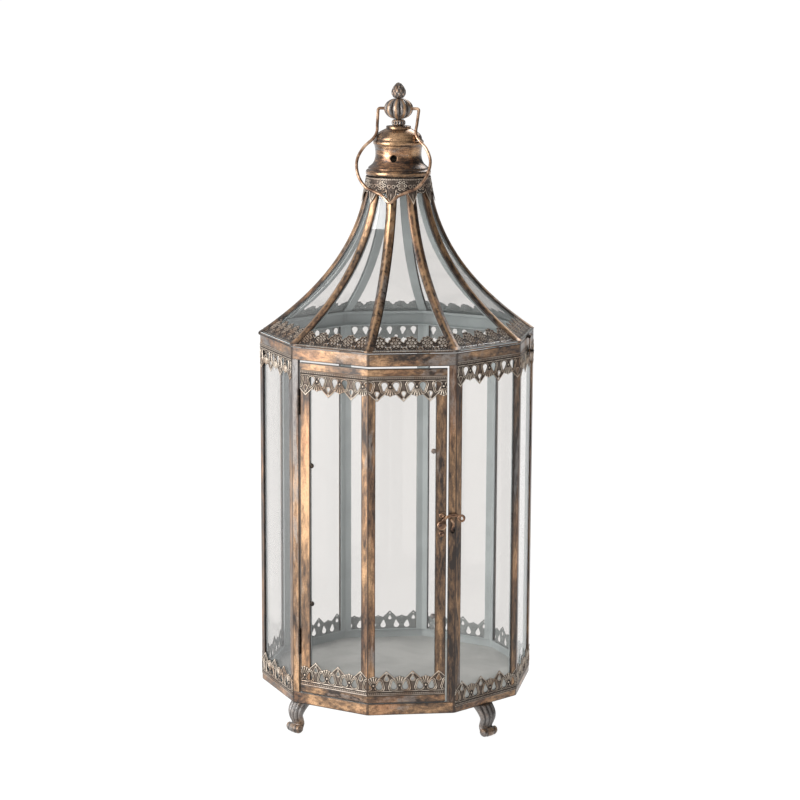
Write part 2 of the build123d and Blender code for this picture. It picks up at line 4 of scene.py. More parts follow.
import bpy
import numpy as np
from mathutils import Matrix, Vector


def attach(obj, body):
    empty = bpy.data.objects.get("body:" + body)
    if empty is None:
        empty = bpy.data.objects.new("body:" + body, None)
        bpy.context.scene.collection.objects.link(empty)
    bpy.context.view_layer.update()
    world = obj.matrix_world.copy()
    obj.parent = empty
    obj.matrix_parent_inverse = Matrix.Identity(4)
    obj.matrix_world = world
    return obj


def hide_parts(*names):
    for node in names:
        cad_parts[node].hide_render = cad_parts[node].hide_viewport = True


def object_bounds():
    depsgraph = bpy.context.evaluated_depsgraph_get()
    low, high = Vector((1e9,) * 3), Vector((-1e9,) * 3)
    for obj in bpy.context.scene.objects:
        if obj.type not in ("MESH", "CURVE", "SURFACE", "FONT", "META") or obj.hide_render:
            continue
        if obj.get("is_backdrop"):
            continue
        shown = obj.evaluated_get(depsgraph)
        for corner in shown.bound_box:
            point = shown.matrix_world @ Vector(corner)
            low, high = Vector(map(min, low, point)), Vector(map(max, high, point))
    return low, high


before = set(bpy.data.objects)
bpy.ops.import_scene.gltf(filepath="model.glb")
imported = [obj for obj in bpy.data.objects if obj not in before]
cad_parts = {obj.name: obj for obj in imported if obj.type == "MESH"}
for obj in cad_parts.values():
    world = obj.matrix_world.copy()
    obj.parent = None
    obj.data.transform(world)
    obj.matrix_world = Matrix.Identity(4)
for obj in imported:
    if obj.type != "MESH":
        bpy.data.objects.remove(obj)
CAD_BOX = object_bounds()

bl_info = {
    "name": "Glass cloche",
    "version": (1, 0, 0),
    "blender": (4, 5, 0),
    "location": "View3D > Sidebar > Cloche",
    "description": "Dresses the packed frame of a ten-sided glazed cloche",
    "category": "Object",
}

# Sizes in millimetres. The frame is in metres.
MM = 0.001
SIDES, STEP, HALF = 10, 36.0, 18.0
TAN_H, SIN_H, COS_H = tan(radians(HALF)), sin(radians(HALF)), cos(radians(HALF))
R_CASE = 165.0
APOTHEM = R_CASE * COS_H
FACE_W = 2 * R_CASE * SIN_H
BASE, BASE_H, SILL = 38.0, 13.7, 4.8
TOP_Z, TOP_H = BASE + 412.5, 12.8
LIP, GLASS, BAR_W, WEB = 1.2, 2.2, 8.8, 3.0
BAR_D = 2 * LIP + GLASS
DOOR_EDGE, STILE_W, REBATE, RAIL_H = 11.0, 12.8, 3.0, 9.0
DOOR_Z0, DOOR_Z1 = BASE + BASE_H + 0.8, BASE + 409.0
PITCH, PEAK_H = 30.6, 29.6
LOWER_TRIM_Z, UPPER_TRIM_Z = BASE + 7.4, BASE + 416.0
DOOR_TRIM_Z = BASE + 23.8, BASE + 400.6
WALL_PEAK, LEFT_PEAK, RIGHT_PEAK = (-8.4, 15.3), (11.3, -1.6), (1.9, -10.2)
LATCH_Z, LATCH_S = BASE + 226.3, 16.6
STUD_R, HOOK_R = 2.65, 1.4
HOOK_OUT = 3.1  # centre of the hook wire off the face
FINGER_X, FINGER_Z, FINGER_R = 22.4, 8.0, 3.4  # finger ring, from the stud
CATCH_S = 3.6
HASP_DROP = 17.8  # hasp stud below the hasp pin
SHEET, RIM_LEDGE = 1.4, 9.0
TRIM_END = 0.8  # gap from a strip of trim to the corner line
PRIMED = 3.2  # sides deeper than this are painted grey
ROOF_Z = TOP_Z + TOP_H + 0.3
ROOF_RIM_H = 4.4
RIB_Z0, RIB_Z1 = ROOF_Z + ROOF_RIM_H, BASE + 596.0
ROOF_TOP_R, ROOF_RISE, ROOF_SPREAD = 38.5, 178.0, 127.3
PANE_IN = 2.4
EAVES_STRETCH, EAVES_PITCH = 1.3, 18.2
COLLAR_R = 40.0
COLLAR_Z1 = BASE + 614.1
BAIL_Z, BAIL_LEAN = BASE + 692.8, 25.0


# ---------------------------------------------------------------- numbers on grids


def bump(d, width):
    """A rounded ridge, exp of minus (d / width) squared."""
    return np.exp(-((d / width) ** 2))


def ridge(d, width):
    """A rounded ridge with a groove 0.7 as deep along each side."""
    return bump(d, width) - 0.7 * bump(np.abs(d) - 2.1 * width, 0.8 * width)


def dome(d):
    """A half ball of radius 1 in d."""
    return np.sqrt(np.clip(1 - d**2, 0, 1))


def ramp(x, lo, hi):
    """0 below lo, 1 above hi, and a smooth cubic between."""
    t = np.clip((x - lo) / (hi - lo), 0, 1)
    return t * t * (3 - 2 * t)


def drop_distance(x, y, low, r_low, high, r_high):
    """Distance outside a drop: a disc that slides from low to high while its radius changes evenly."""
    ax, ay, bx, by = *low, *high
    t = np.clip(((x - ax) * (bx - ax) + (y - ay) * (by - ay)) / ((bx - ax) ** 2 + (by - ay) ** 2), 0, 1)
    return np.hypot(x - ax - t * (bx - ax), y - ay - t * (by - ay)) - r_low - t * (r_high - r_low)


def smooth_path(points, count):
    """Cubic through the points with Catmull-Rom slopes, count samples per span."""
    p = np.asarray(points, float)
    slope = np.gradient(p, axis=0)
    t = np.linspace(0, 1, count, endpoint=False)[None, :, None]
    a, b, da, db = p[:-1, None], p[1:, None], slope[:-1, None], slope[1:, None]
    q = (2 * t**3 - 3 * t**2 + 1) * a + (t**3 - 2 * t**2 + t) * da
    q = q + (-2 * t**3 + 3 * t**2) * b + (t**3 - t**2) * db
    return np.vstack([q.reshape(-1, p.shape[1]), p[-1:]])


def soften(points, radius, steps=3):
    """Rounds each corner of a closed outline with a parabola between two points radius away from it.

    Returns the new outline and its wear: 1 on an outer corner, -1 in an inner one, 0 a little way off.
    """
    p = np.asarray(points, float)
    before, after = np.roll(p, 1, 0) - p, np.roll(p, -1, 0) - p
    la, lb = np.linalg.norm(before, axis=1), np.linalg.norm(after, axis=1)
    turn = before[:, 0] * after[:, 1] - before[:, 1] * after[:, 0]
    area = np.sum(p[:, 0] * np.roll(p[:, 1], -1) - np.roll(p[:, 0], -1) * p[:, 1])
    sign = -np.sign(turn * area)
    ra, rb = np.minimum(radius, la * 0.3), np.minimum(radius, lb * 0.3)
    fa, fb = np.minimum(radius * 3.2, la * 0.45), np.minimum(radius * 3.2, lb * 0.45)
    ua, ub = before / la[:, None], after / lb[:, None]
    t = np.linspace(0, 1, steps + 1)[None, :, None]
    a, b = (p + ua * ra[:, None])[:, None], (p + ub * rb[:, None])[:, None]
    arc = (1 - t) ** 2 * a + 2 * t * (1 - t) * p[:, None] + t**2 * b
    far = [(p + ua * fa[:, None])[:, None], (p + ub * fb[:, None])[:, None]]
    out = np.concatenate([far[0], arc, far[1]], axis=1)
    wear = np.repeat(sign[:, None], steps + 3, axis=1)
    wear[:, 0] = wear[:, -1] = 0
    return out.reshape(-1, 2), wear.ravel()


def on_face(points, k):
    """Points of the face that looks to -Y, moved to face k."""
    return spin(points, STEP * k + HALF)


def spin(points, degrees):
    """Points of any grid turned about Z."""
    a = radians(degrees)
    turn = np.array([[cos(a), sin(a), 0], [-sin(a), cos(a), 0], [0, 0, 1]])
    points = np.asarray(points, float)
    return (points.reshape(-1, 3) @ turn).reshape(points.shape)


def xyz(x, y, z):
    """Points from x, y and z spread over one grid."""
    return np.stack(np.broadcast_arrays(x, y, z), -1)


def circle(count):
    """Angles of count points spaced evenly round a circle."""
    return np.linspace(0, 2 * pi, count + 1)[:-1]


def middles(outline):
    """Middle of each side of a closed outline."""
    return (outline + np.roll(outline, -1, 0)) / 2


def grid_faces(rows, cols, wrap_rows=False, wrap_cols=False):
    """Quads between neighbouring points of a rows by cols grid."""
    i = np.arange(rows if wrap_rows else rows - 1)[:, None]
    j = np.arange(cols if wrap_cols else cols - 1)[None, :]
    i2, j2 = (i + 1) % rows, (j + 1) % cols
    quad = [i * cols + j, i2 * cols + j, i2 * cols + j2, i * cols + j2]
    return np.stack([np.broadcast_to(q, (i.shape[0], j.shape[1])) for q in quad], -1).reshape(-1, 4)


class Shell:
    """Points, faces, finish numbers and per-point values of a piece while its surfaces are put together: worn
    and antiqued edges and, on relief finishes, painted highlight and painted shade.
    """

    def __init__(self):
        self.points, self.wear, self.groups, self.count = [], [], [], 0

    def add(self, points, groups, wear=0.0, closed=True):
        """Takes one surface in millimetres. groups are (faces, finish), faces a k by m array of points."""
        points = np.asarray(points, float).reshape(-1, 3)
        total = 0.0
        for faces, _ in groups:
            tri = points[faces]
            normal = np.cross(tri[:, 1] - tri[:, 0], tri[:, 2] - tri[:, 0])
            if faces.shape[1] > 3:
                normal = normal + np.cross(tri[:, 2] - tri[:, 0], tri[:, 3] - tri[:, 0])
            middle = tri.mean(axis=1) - (points.mean(axis=0) if closed else 0)
            if not closed:
                middle[:, 2] = 0
            total += np.sum(normal * middle)
        for faces, finish in groups:
            faces = faces if total >= 0 else faces[:, ::-1]
            self.groups.append((faces + self.count, np.broadcast_to(finish, (len(faces),))))
        self.points.append(points)
        self.wear.append(np.broadcast_to(wear, (len(points),)))
        self.count += len(points)
        return self

    def carry(self, rows, wear=0.0, finish=0, closed_path=False, caps=True):
        """A closed outline carried along a path: rows is path by outline by 3.

        The per-point value (worn edges, and on relief finishes painted highlight and shade) is given per
        point of the outline, and finish may be per side of it.
        """
        n, m = rows.shape[:2]
        faces = grid_faces(n, m, closed_path, True)
        sides = np.broadcast_to(finish, (m,))
        spans = n if closed_path else n - 1
        groups = [(faces, np.tile(sides, spans))]
        if caps and not closed_path:
            groups.append((np.arange(m)[None, ::-1], sides.min()))
            groups.append((np.arange(m)[None, :] + (n - 1) * m, sides.min()))
        return self.add(rows, groups, np.tile(np.broadcast_to(wear, (m,)), n))


def lattice(field, x0, y0, step, wrap=False):
    """Triangles and polygons of the part of a grid where field is above 0, its edge where field is 0.

    Each cell keeps its inside corners and the points where its sides cross 0, found by straight-line
    interpolation. Returns x, y of the points used and a list of face arrays.
    """
    nx, ny = field.shape
    i, j = np.meshgrid(np.arange(nx if wrap else nx - 1), np.arange(ny - 1), indexing="ij")
    i2 = (i + 1) % nx
    size = nx * ny
    corner = [i * ny + j, i2 * ny + j, i2 * ny + j + 1, i * ny + j + 1]
    across, up = size + corner[0], 2 * size + corner[0]
    side = [across, 2 * size + corner[1], size + corner[3], up]
    value = field.ravel()
    inside = [value[c] > 0 for c in corner]
    case = sum(s.astype(int) << n for n, s in enumerate(inside))
    faces = []
    for code in range(1, 16):
        here = case == code
        if not here.any():
            continue
        held = [bool(code >> n & 1) for n in range(4)]
        ring = []
        for n in range(4):
            if held[n]:
                ring.append(corner[n][here])
            if held[n] != held[(n + 1) % 4]:
                ring.append(side[n][here])
        faces.append(np.stack(ring, -1))
    gx, gy = np.meshgrid(x0 + step * np.arange(nx), y0 + step * np.arange(ny), indexing="ij")
    right = np.roll(field, -1, 0)
    above = np.roll(field, -1, 1)
    with np.errstate(divide="ignore", invalid="ignore"):
        tx = np.clip(np.nan_to_num(field / (field - right)), 0.02, 0.98)
        ty = np.clip(np.nan_to_num(field / (field - above)), 0.02, 0.98)
    x = np.concatenate([gx.ravel(), (gx + step * tx).ravel(), gx.ravel()])
    y = np.concatenate([gy.ravel(), gy.ravel(), (gy + step * ty).ravel()])
    used = np.unique(np.concatenate([f.ravel() for f in faces]))
    lookup = np.zeros(3 * size, int)
    lookup[used] = np.arange(len(used))
    return x[used], y[used], [lookup[f] for f in faces]


# ---------------------------------------------------------------- finishes


def tone(code):
    """sRGB hex as linear colour."""
    c = np.array([int(code[n : n + 2], 16) / 255 for n in (1, 3, 5)])
    c = np.where(c <= 0.04045, c / 12.92, ((c + 0.055) / 1.055) ** 2.4)
    return (*[float(v) for v in c], 1.0)


def node(tree, kind, inputs=(), stops=(), take=0, **settings):
    """Adds a shader node with its settings, ramp stops and inputs, each a value or a link.

    Returns the output numbered or named take, or the node itself where take is None.
    """
    n = tree.nodes.new("ShaderNode" + kind)
    for key, value in settings.items():
        setattr(n, key, value)
    if stops:
        ends = n.color_ramp.elements
        while len(ends) < len(stops):
            ends.new(0.5)
        for stop, (place, colour) in zip(ends, stops):
            stop.position = place
            stop.color = tone(colour) if isinstance(colour, str) else (*np.broadcast_to(colour, 3), 1)
    for key, value in inputs.items() if isinstance(inputs, dict) else enumerate(inputs):
        if isinstance(value, bpy.types.NodeSocket):
            tree.links.new(value, n.inputs[key])
        else:
            n.inputs[key].default_value = value
    return n if take is None else n.outputs[take]


def new_finish(name):
    """Empty node material, and the function that adds nodes to it."""
    mat = bpy.data.materials.new(name)
    mat.use_nodes = True
    mat.node_tree.nodes.clear()
    return mat, partial(node, mat.node_tree)


def aged_copper(
    name, streak, gold=0.0, patina=0.56, metal=0.7, gloss=(0.33, 0.56), relief=0.0, rub_and_highlight=(0.3, 0.8)
):
    """Antiqued copper paint on sheet steel: gold sponged over dark brown, smoked at the edges, grey bloom.
    With relief set, the per-point values also paint highlights in the highlight colour on raised parts and
    painted shade in dark brown in grooves and at edges.

    The lacquer is dabbed on by hand, so it clouds in patches of 2 to 3 cm drawn out along each bar, with a
    speckle of 1 to 4 mm in them, and leaves a blue-grey bloom where it was left thick.
    """
    look = bpy.context.scene.cloche_look
    mat, add = new_finish(name)
    at = add("TexCoord", take="Object")
    drawn = add("Mapping", {"Vector": at, "Scale": streak})
    patches = {"Vector": drawn, "Detail": 4, "Roughness": 0.6, "Distortion": 0.5}
    cloud = add("TexNoise", {**patches, "Scale": 1000 / 26})
    sponge = add("TexNoise", {"Vector": drawn, "Scale": 1000 / 4, "Detail": 5, "Roughness": 0.7})
    fine = add("TexNoise", {"Vector": at, "Scale": 1000 / 1.3, "Detail": 3, "Roughness": 0.6})
    dab = add("Math", [sponge, 0.5], operation="SUBTRACT")
    mass = add("Math", [dab, 0.8, cloud], operation="MULTIPLY_ADD")
    body = add("ValToRGB", [mass], [
        (0.36 - gold, "#2b2019"), (0.43 - gold, "#5b4533"), (0.5 - gold, look.copper),
        (0.58 - gold, look.gold), (0.7 - gold, look.rubbed_and_highlight)])
    warm = add("TexNoise", {"Vector": drawn, "Scale": 1000 / 34, "Detail": 3})
    warm = add("ValToRGB", [warm], [(0.5, 0.0), (0.66, 0.3)])
    red = add("Mix", {0: 1.0, 6: body, 7: tone("#e0a184")}, take=2, data_type="RGBA", blend_type="MULTIPLY")
    body = add("Mix", {0: warm, 6: body, 7: red}, take=2, data_type="RGBA")
    bloom = add("TexNoise", {**patches, "Scale": 1000 / 38, "Detail": 3, "Distortion": 0.8})
    bloom = add("Math", [dab, 0.55, bloom], operation="MULTIPLY_ADD")
    bloom = add("ValToRGB", [bloom], [(patina, 0.0), (patina + 0.12, 0.8)])
    body = add("Mix", {0: bloom, 6: body, 7: (*look.patina, 1)}, take=2, data_type="RGBA")
    speck = add("ValToRGB", [fine], [(0.36, 0.5), (0.54, 1.0)])
    body = add("Mix", {0: 0.75, 6: body, 7: speck}, take=2, data_type="RGBA", blend_type="MULTIPLY")
    wear = add("Attribute", take="Fac", attribute_name="wear")
    # Painted highlight: with relief set, high per-point values on rib crowns, lobes, beads, toe tops and leg
    # fronts take the highlight colour, partly worn bright and partly painted highlight.
    if relief:
        high = add("ValToRGB", [add("Math", [wear, dab])], [(rub_and_highlight[0], 0.0), (rub_and_highlight[1], relief)])
        body = add("Mix", {0: high, 6: body, 7: (*look.rubbed_and_highlight, 1)}, take=2, data_type="RGBA")
        low = add("Math", [wear, -1.0], operation="MULTIPLY")
    else:
        low = add("Math", [wear], operation="ABSOLUTE")
    # Painted shade: with relief set, negative per-point values in grooves, flutes and at rib edges darken to
    # dark brown as painted shade; without relief, outer and inner edges darken as antiquing.
    smoke_and_shade = add("Math", [dab, 1.2, low], operation="MULTIPLY_ADD")
    smoke_and_shade = add("ValToRGB", [smoke_and_shade], [(0.25, 0.0), (0.95, 0.8)])
    body = add("Mix", {0: smoke_and_shade, 6: body, 7: tone("#261b15")}, take=2, data_type="RGBA")
    rough = add("MapRange", [sponge, 0.35, 0.65, *gloss])
    grain = add("Math", [fine, 0.5, sponge], operation="MULTIPLY_ADD")
    bumped = add("Bump", {"Strength": 0.4, "Distance": 0.0004, "Height": grain})
    shader = {"Base Color": body, "Roughness": rough, "Normal": bumped, "Metallic": metal}
    shader.update({"Coat Weight": 0.6, "Coat Roughness": 0.36})  # clear lacquer over the paint, a pale glare
    add("OutputMaterial", [add("BsdfPrincipled", shader)], take=None)
    return mat


def pressed_lace():
    """Stamped steel lace, blackened and then wiped: dark in the hollows and pewter and beige on the relief,
    partly the wiped blackening and partly painted shade and painted highlight that stand in for the shading
    of the shallow relief.
    """
    look = bpy.context.scene.cloche_look
    mat, add = new_finish("blackened stamped lace with painted relief shade")
    at = add("TexCoord", take="Object")
    height = add("Attribute", take="Fac", attribute_name="wear")
    cloud = add("TexNoise", {"Vector": at, "Scale": 1000 / 28, "Detail": 4, "Roughness": 0.6})
    fine = add("TexNoise", {"Vector": at, "Scale": 1000 / 1.2, "Detail": 4, "Roughness": 0.65})
    grit = add("Math", [fine, 0.5], operation="SUBTRACT")
    # Colour follows the relief height: painted shade in the hollows and painted highlight on the raised
    # parts, over the blackened finish.
    level = add("Math", [grit, 0.45, height], operation="MULTIPLY_ADD")
    body = add("ValToRGB", [level], [
        (0.10, "#17120f"), (0.27, "#40362f"), (0.5, "#82756a"), (0.85, "#d2c5b4")])
    warm = add("ValToRGB", [cloud], [(0.48, 0.0), (0.62, 0.55)])
    rubbed_and_highlight = (*look.rubbed_and_highlight, 1)
    gold = add("Mix", {0: 1.0, 6: body, 7: rubbed_and_highlight}, take=2, data_type="RGBA", blend_type="MULTIPLY")
    body = add("Mix", {0: warm, 6: body, 7: gold}, take=2, data_type="RGBA")
    rough = add("MapRange", [fine, 0.3, 0.7, 0.34, 0.6])
    bumped = add("Bump", {"Strength": 0.4, "Distance": 0.0002, "Height": fine})
    shader = {"Base Color": body, "Roughness": rough, "Normal": bumped, "Metallic": 0.5}
    add("OutputMaterial", [add("BsdfPrincipled", shader)], take=None)
    return mat


def grey_paint(name, colour, stains):
    """Matt blue-grey primer on the inside of the sheet: chalky, faintly clouded, a little scuffed."""
    mat, add = new_finish(name)
    at = add("TexCoord", take="Object")
    clouded = {"Vector": at, "Scale": 1000 / 45, "Detail": 5, "Roughness": 0.6, "Distortion": 0.5}
    cloud = add("TexNoise", clouded)
    fine = add("TexNoise", {"Vector": at, "Scale": 1000 / 1.6, "Detail": 3})
    shade = add("ValToRGB", [cloud], [(0.35, 0.72), (0.6, 1.0)])
    body = add("Mix", {0: stains, 6: (*colour, 1), 7: shade}, take=2, data_type="RGBA", blend_type="MULTIPLY")
    scuff = add("TexNoise", {"Vector": at, "Scale": 1000 / 9, "Detail": 8, "Roughness": 0.7})
    scuff = add("ValToRGB", [scuff], [(0.62, 0.0), (0.74, 0.5)])
    body = add("Mix", {0: scuff, 6: body, 7: tone("#5c6263")}, take=2, data_type="RGBA")
    rough = add("MapRange", [cloud, 0.3, 0.7, 0.5, 0.72])
    bumped = add("Bump", {"Strength": 0.2, "Distance": 0.0002, "Height": fine})
    shader = {"Base Color": body, "Roughness": rough, "Normal": bumped}
    add("OutputMaterial", [add("BsdfPrincipled", shader)], take=None)
    return mat


def rod_metal(name, grain_mm, tones, gloss, metal):
    """Plain metal of small parts, its oxide clouded over grain_mm: blackened steel, or lacquered wire."""
    mat, add = new_finish(name)
    at = add("TexCoord", take="Object")
    mottle = add("TexNoise", {"Vector": at, "Scale": 1000 / grain_mm, "Detail": 5, "Roughness": 0.6})
    fine = add("TexNoise", {"Vector": at, "Scale": 1000 / 1.1, "Detail": 3})
    body = add("ValToRGB", [mottle], tones)
    rough = add("MapRange", [fine, 0.3, 0.7, *gloss])
    bumped = add("Bump", {"Strength": 0.25, "Distance": 0.0002, "Height": fine})
    shader = {"Base Color": body, "Roughness": rough, "Normal": bumped, "Metallic": metal}
    add("OutputMaterial", [add("BsdfPrincipled", shader)], take=None)
    return mat


def clear_glass():
    """Clear drawn glass 2.2 mm thick: nearly invisible face on, a soft mirror at a slant, faintly rippled."""
    look = bpy.context.scene.cloche_look
    mat, add = new_finish("clear drawn glass")
    at = add("TexCoord", take="Object")
    wave = add("TexNoise", {"Vector": at, "Scale": 1000 / 60, "Detail": 1})
    ripple = add("Bump", {"Strength": 0.04, "Distance": 0.0004, "Height": wave})
    mirror = add("BsdfGlossy", {"Roughness": 0.04, "Normal": ripple, "Color": (1, 1, 1, 1)})
    slant = add("LayerWeight", {"Blend": 0.5}, take="Facing")
    slant = add("Math", [slant, 5.0], operation="POWER")
    share = add("Math", [slant, 0.55, 0.035], operation="MULTIPLY_ADD")
    both = add("MixShader", [share, add("BsdfTransparent", [(*look.glass_tint, 1)]), mirror])
    add("OutputMaterial", [both], take=None)
    return mat


def finish(name):
    """The finish of that name, made the first time it is asked for."""
    made = FINISHES.get(name)
    if made is None:
        made = FINISHES[name] = MAKERS[name]()
    return made


FINISHES = {}
BLACK = [(0.38, "#14110f"), (0.56, "#2e2721"), (0.72, "#6b5644")]
WIRE = [(0.36, "#4a3830"), (0.5, "#8f6f58"), (0.66, "#dcba9c")]
CAST_RUB_AND_HIGHLIGHT = (0.5, 1.0)
MAKERS = {
    "bar": lambda: aged_copper("antiqued copper, bars", (1, 1, 0.22)),
    "rim": lambda: aged_copper("antiqued copper, rims", (0.5, 0.5, 1), 0.01),
    "sill": lambda: aged_copper("antiqued copper, base rim", (0.5, 0.5, 1), 0.06, 0.64),
    "foot": lambda: aged_copper(
        "patinated casting with painted light, feet", (1, 1, 1), -0.08, 0.43, 0.5, (0.36, 0.55), 0.35, CAST_RUB_AND_HIGHLIGHT),
    "rib": lambda: aged_copper("antiqued copper with painted light, ribs", (1, 1, 0.3), 0.0, 0.6, 0.8, (0.25, 0.42), 0.6),
    "spun": lambda: aged_copper(
        "antiqued copper with painted light, spun cap", (0.6, 0.6, 2), 0.0, 0.62, 0.9, (0.18, 0.34), 0.5),
    "cast": lambda: aged_copper("patinated casting with painted light", (1, 1, 1), -0.03, 0.4, 0.6, (0.3, 0.5), 0.8, CAST_RUB_AND_HIGHLIGHT),
    "lace": pressed_lace,
    "primer": lambda: grey_paint("blue-grey primer", bpy.context.scene.cloche_look.primer, 0.55),
    "tray": lambda: grey_paint("grey primer, tray", tone("#c6c7c4")[:3], 0.8),
    "iron": lambda: rod_metal("blackened steel", 1.8, BLACK, (0.3, 0.55), 0.8),
    "wire": lambda: rod_metal("copper-lacquered wire", 14, WIRE, (0.25, 0.42), 0.8),
    "glass": clear_glass,
}


# ---------------------------------------------------------------- making pieces


def make_piece(name, shell, body, nodes, finishes, crease=35, sheet=0.0):
    """Puts a shell into a mesh object, gives it its finishes and joins it to the frame."""
    mesh = bpy.data.meshes.new(name)
    points = np.vstack(shell.points) * MM
    mesh.vertices.add(len(points))
    mesh.vertices.foreach_set("co", points.ravel())
    loops = np.concatenate([f.ravel() for f, _ in shell.groups])
    sizes = np.concatenate([np.full(len(f), f.shape[1]) for f, _ in shell.groups])
    mesh.loops.add(len(loops))
    mesh.loops.foreach_set("vertex_index", loops.astype(np.int32))
    mesh.polygons.add(len(sizes))
    mesh.polygons.foreach_set("loop_start", (np.cumsum(sizes) - sizes).astype(np.int32))
    ids = np.concatenate([m for _, m in shell.groups]).astype(np.int32)
    for key in finishes:
        mesh.materials.append(finish(key))
    mesh.polygons.foreach_set("material_index", ids)
    mesh.update(calc_edges=True)
    if mesh.validate():
        raise RuntimeError(f"{name} has a bad face")
    # Per-point values: worn and antiqued edges, and on ribs, feet, finial, cap and lace also painted
    # highlight and painted shade.
    wear = mesh.attributes.new("wear", "FLOAT", "POINT")
    wear.data.foreach_set("value", np.concatenate(shell.wear).astype(np.float32))
    mesh.polygons.foreach_set("use_smooth", np.ones(len(sizes), bool))
    mesh.set_sharp_from_angle(angle=radians(crease))
    piece = bpy.data.objects.new(name, mesh)
    bpy.context.scene.collection.objects.link(piece)
    if sheet:
        wall = piece.modifiers.new("sheet", "SOLIDIFY")
        wall.thickness, wall.offset = sheet * MM, -1
        wall.use_even_offset = False
        wall.material_offset = 1
        wall.material_offset_rim = 0
    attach(piece, body)
    if nodes:
        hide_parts(*nodes)
    return piece


def make_lace(name, shell, body, cad_node):
    """A piece of stamped lace: its sheet grows inward from the shell, with primer at the back."""
    sheet = bpy.context.scene.cloche_look.lace_sheet / MM
    make_piece(name, shell, body, [cad_node], ["lace", "primer"], 50, sheet)


def dress_node(name, key, edge=0.0):
    """Gives a CAD node that keeps its own shape a finish and softly broken edges."""
    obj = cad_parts[name]
    obj.data.materials.clear()
    obj.data.materials.append(finish(key))
    if edge:
        soft = obj.modifiers.new("broken edge", "BEVEL")
        soft.width, soft.segments, soft.limit_method = edge * MM, 2, "ANGLE"
        soft.angle_limit = radians(40)


# ---------------------------------------------------------------- case


def ten_sided(shell, outline):
    """Carries an outline of (depth, z) round the case. At azimuth a its corner radius is
    (apothem - depth) / cos(a from the face's middle), and each corner is cut off 0.4 degree to either
    side, which softens it. Sides deeper than half the sheet are painted grey."""
    section, wear = soften(outline, 0.5)
    mids = middles(section)
    sides = (mids[:, 0] > SHEET / 2).astype(int)
    local = np.r_[-17.6, np.linspace(-17.1, 17.1, 9), 17.6]
    azimuth = np.radians((np.arange(SIDES)[:, None] * STEP + HALF + local[None]).ravel())
    off = np.radians(np.tile(local, SIDES))
    r = (APOTHEM - section[None, :, 0]) / np.cos(off)[:, None]
    rows = xyz(r * np.sin(azimuth)[:, None], -r * np.cos(azimuth)[:, None], section[None, :, 1])
    corner = np.abs(np.abs(np.tile(local, SIDES)) - 17.6) < 0.1
    total = np.maximum(np.abs(np.tile(wear, (len(azimuth), 1))), corner[:, None] * 0.9)
    n, m = rows.shape[:2]
    shell.add(rows, [(grid_faces(n, m, True, True), np.tile(sides, n))], total.ravel())


def build_rims():
    """Rolled rims of the case and the tray that stands in the lower one."""
    base = Shell()
    z0, z1, tray = BASE, BASE + BASE_H, RIM_LEDGE + 6
    ledge = [(0, z0), (0, z1), (SILL, z1), (SILL, z1 - SHEET), (SHEET, z1 - SHEET), (SHEET, z0 + SHEET)]
    ten_sided(base, ledge + [(tray, z0 + SHEET), (tray, z0)])
    make_piece("case_base_rim", base, "case", ["base_rim"], ["sill", "primer"])
    top = Shell()
    roll = 0.9  # rolled edge that stands past the flat of the rim
    z0, z1 = TOP_Z - roll, TOP_Z + TOP_H + roll
    wall = [(0, z0), (0, z1), (SHEET, z1), (SHEET, z0 + SHEET)]
    ten_sided(top, wall + [(RIM_LEDGE, z0 + SHEET), (RIM_LEDGE, z0)])
    make_piece("case_top_rim", top, "case", ["top_rim"], ["rim", "primer"])
    dress_node("floor_plate", "tray")


def corner_plan(side, s, depth):
    """Plan point from the corner that points to -Y, s along the face on that side and depth inward."""
    return side * (s * COS_H - depth * SIN_H), -R_CASE + s * SIN_H + depth * COS_H


def bar_outline(left, right):
    """Plan outline of a corner bar and how deep each point lies under its outer faces."""
    plain = [(BAR_W, 0), (BAR_W, BAR_D)]
    glazed = [plain[0], (BAR_W, LIP), (WEB, LIP), (WEB, LIP + GLASS), (BAR_W, LIP + GLASS), plain[1]]
    one, two = (glazed if right else plain), (glazed if left else plain)
    points = [(0, -R_CASE)] + [corner_plan(1, *p) for p in one] + [(0, -R_CASE + BAR_D / COS_H)]
    return points + [corner_plan(-1, *p) for p in two[::-1]]


def upright(shell, outline, z0, z1, degrees):
    """Carries a plan outline straight up. A side whose middle lies deeper than PRIMED is painted grey."""
    section, wear = soften(outline, 0.45)
    mids = middles(section)
    a = np.abs(np.arctan2(mids[:, 0], -mids[:, 1]))
    face_depth = APOTHEM - np.hypot(mids[:, 0], mids[:, 1]) * np.cos(np.radians(HALF) - a)
    z = np.linspace(z0, z1, 24)
    rows = xyz(section[None, :, 0], section[None, :, 1], z[:, None])
    shell.carry(spin(rows, degrees), wear, (face_depth > PRIMED).astype(int))


def build_corner_bars():
    """Folded glazing bars at the nine fixed corners."""
    shell = Shell()
    for k in range(1, SIDES):
        upright(shell, bar_outline(k != 1, k != SIDES - 1), BASE + BASE_H, TOP_Z, STEP * k)
    make_piece("case_corner_bars", shell, "case", ["corner_bars"], ["bar", "primer"])


def build_wall_panes():
    """Flat panes of the case and of the door keep their CAD shape."""
    for k in range(1, SIDES - 1):
        dress_node(f"wall_pane_{k}", "glass")
    for name in ("door_pane_left", "door_pane_right"):
        dress_node(name, "glass")


# A leg from the rim down: (radius from the axis, height), half width and half depth
FOOT_PATH = [
    (150.5, 37.9), (155.5, 33.5), (160.0, 27.5), (161.0, 21.5), (158.6, 15.5), (157.4, 11.0), (159.4, 7.0)]
FOOT_WIDTH = [13.0, 12.6, 12.0, 10.6, 9.4, 9.2, 9.8]
FOOT_DEPTH = [8.2, 8.0, 7.5, 6.9, 6.2, 5.9, 5.6]
TOE_R, TOE_HALF, TOE_AT = 5.3, 10.4, 162.8


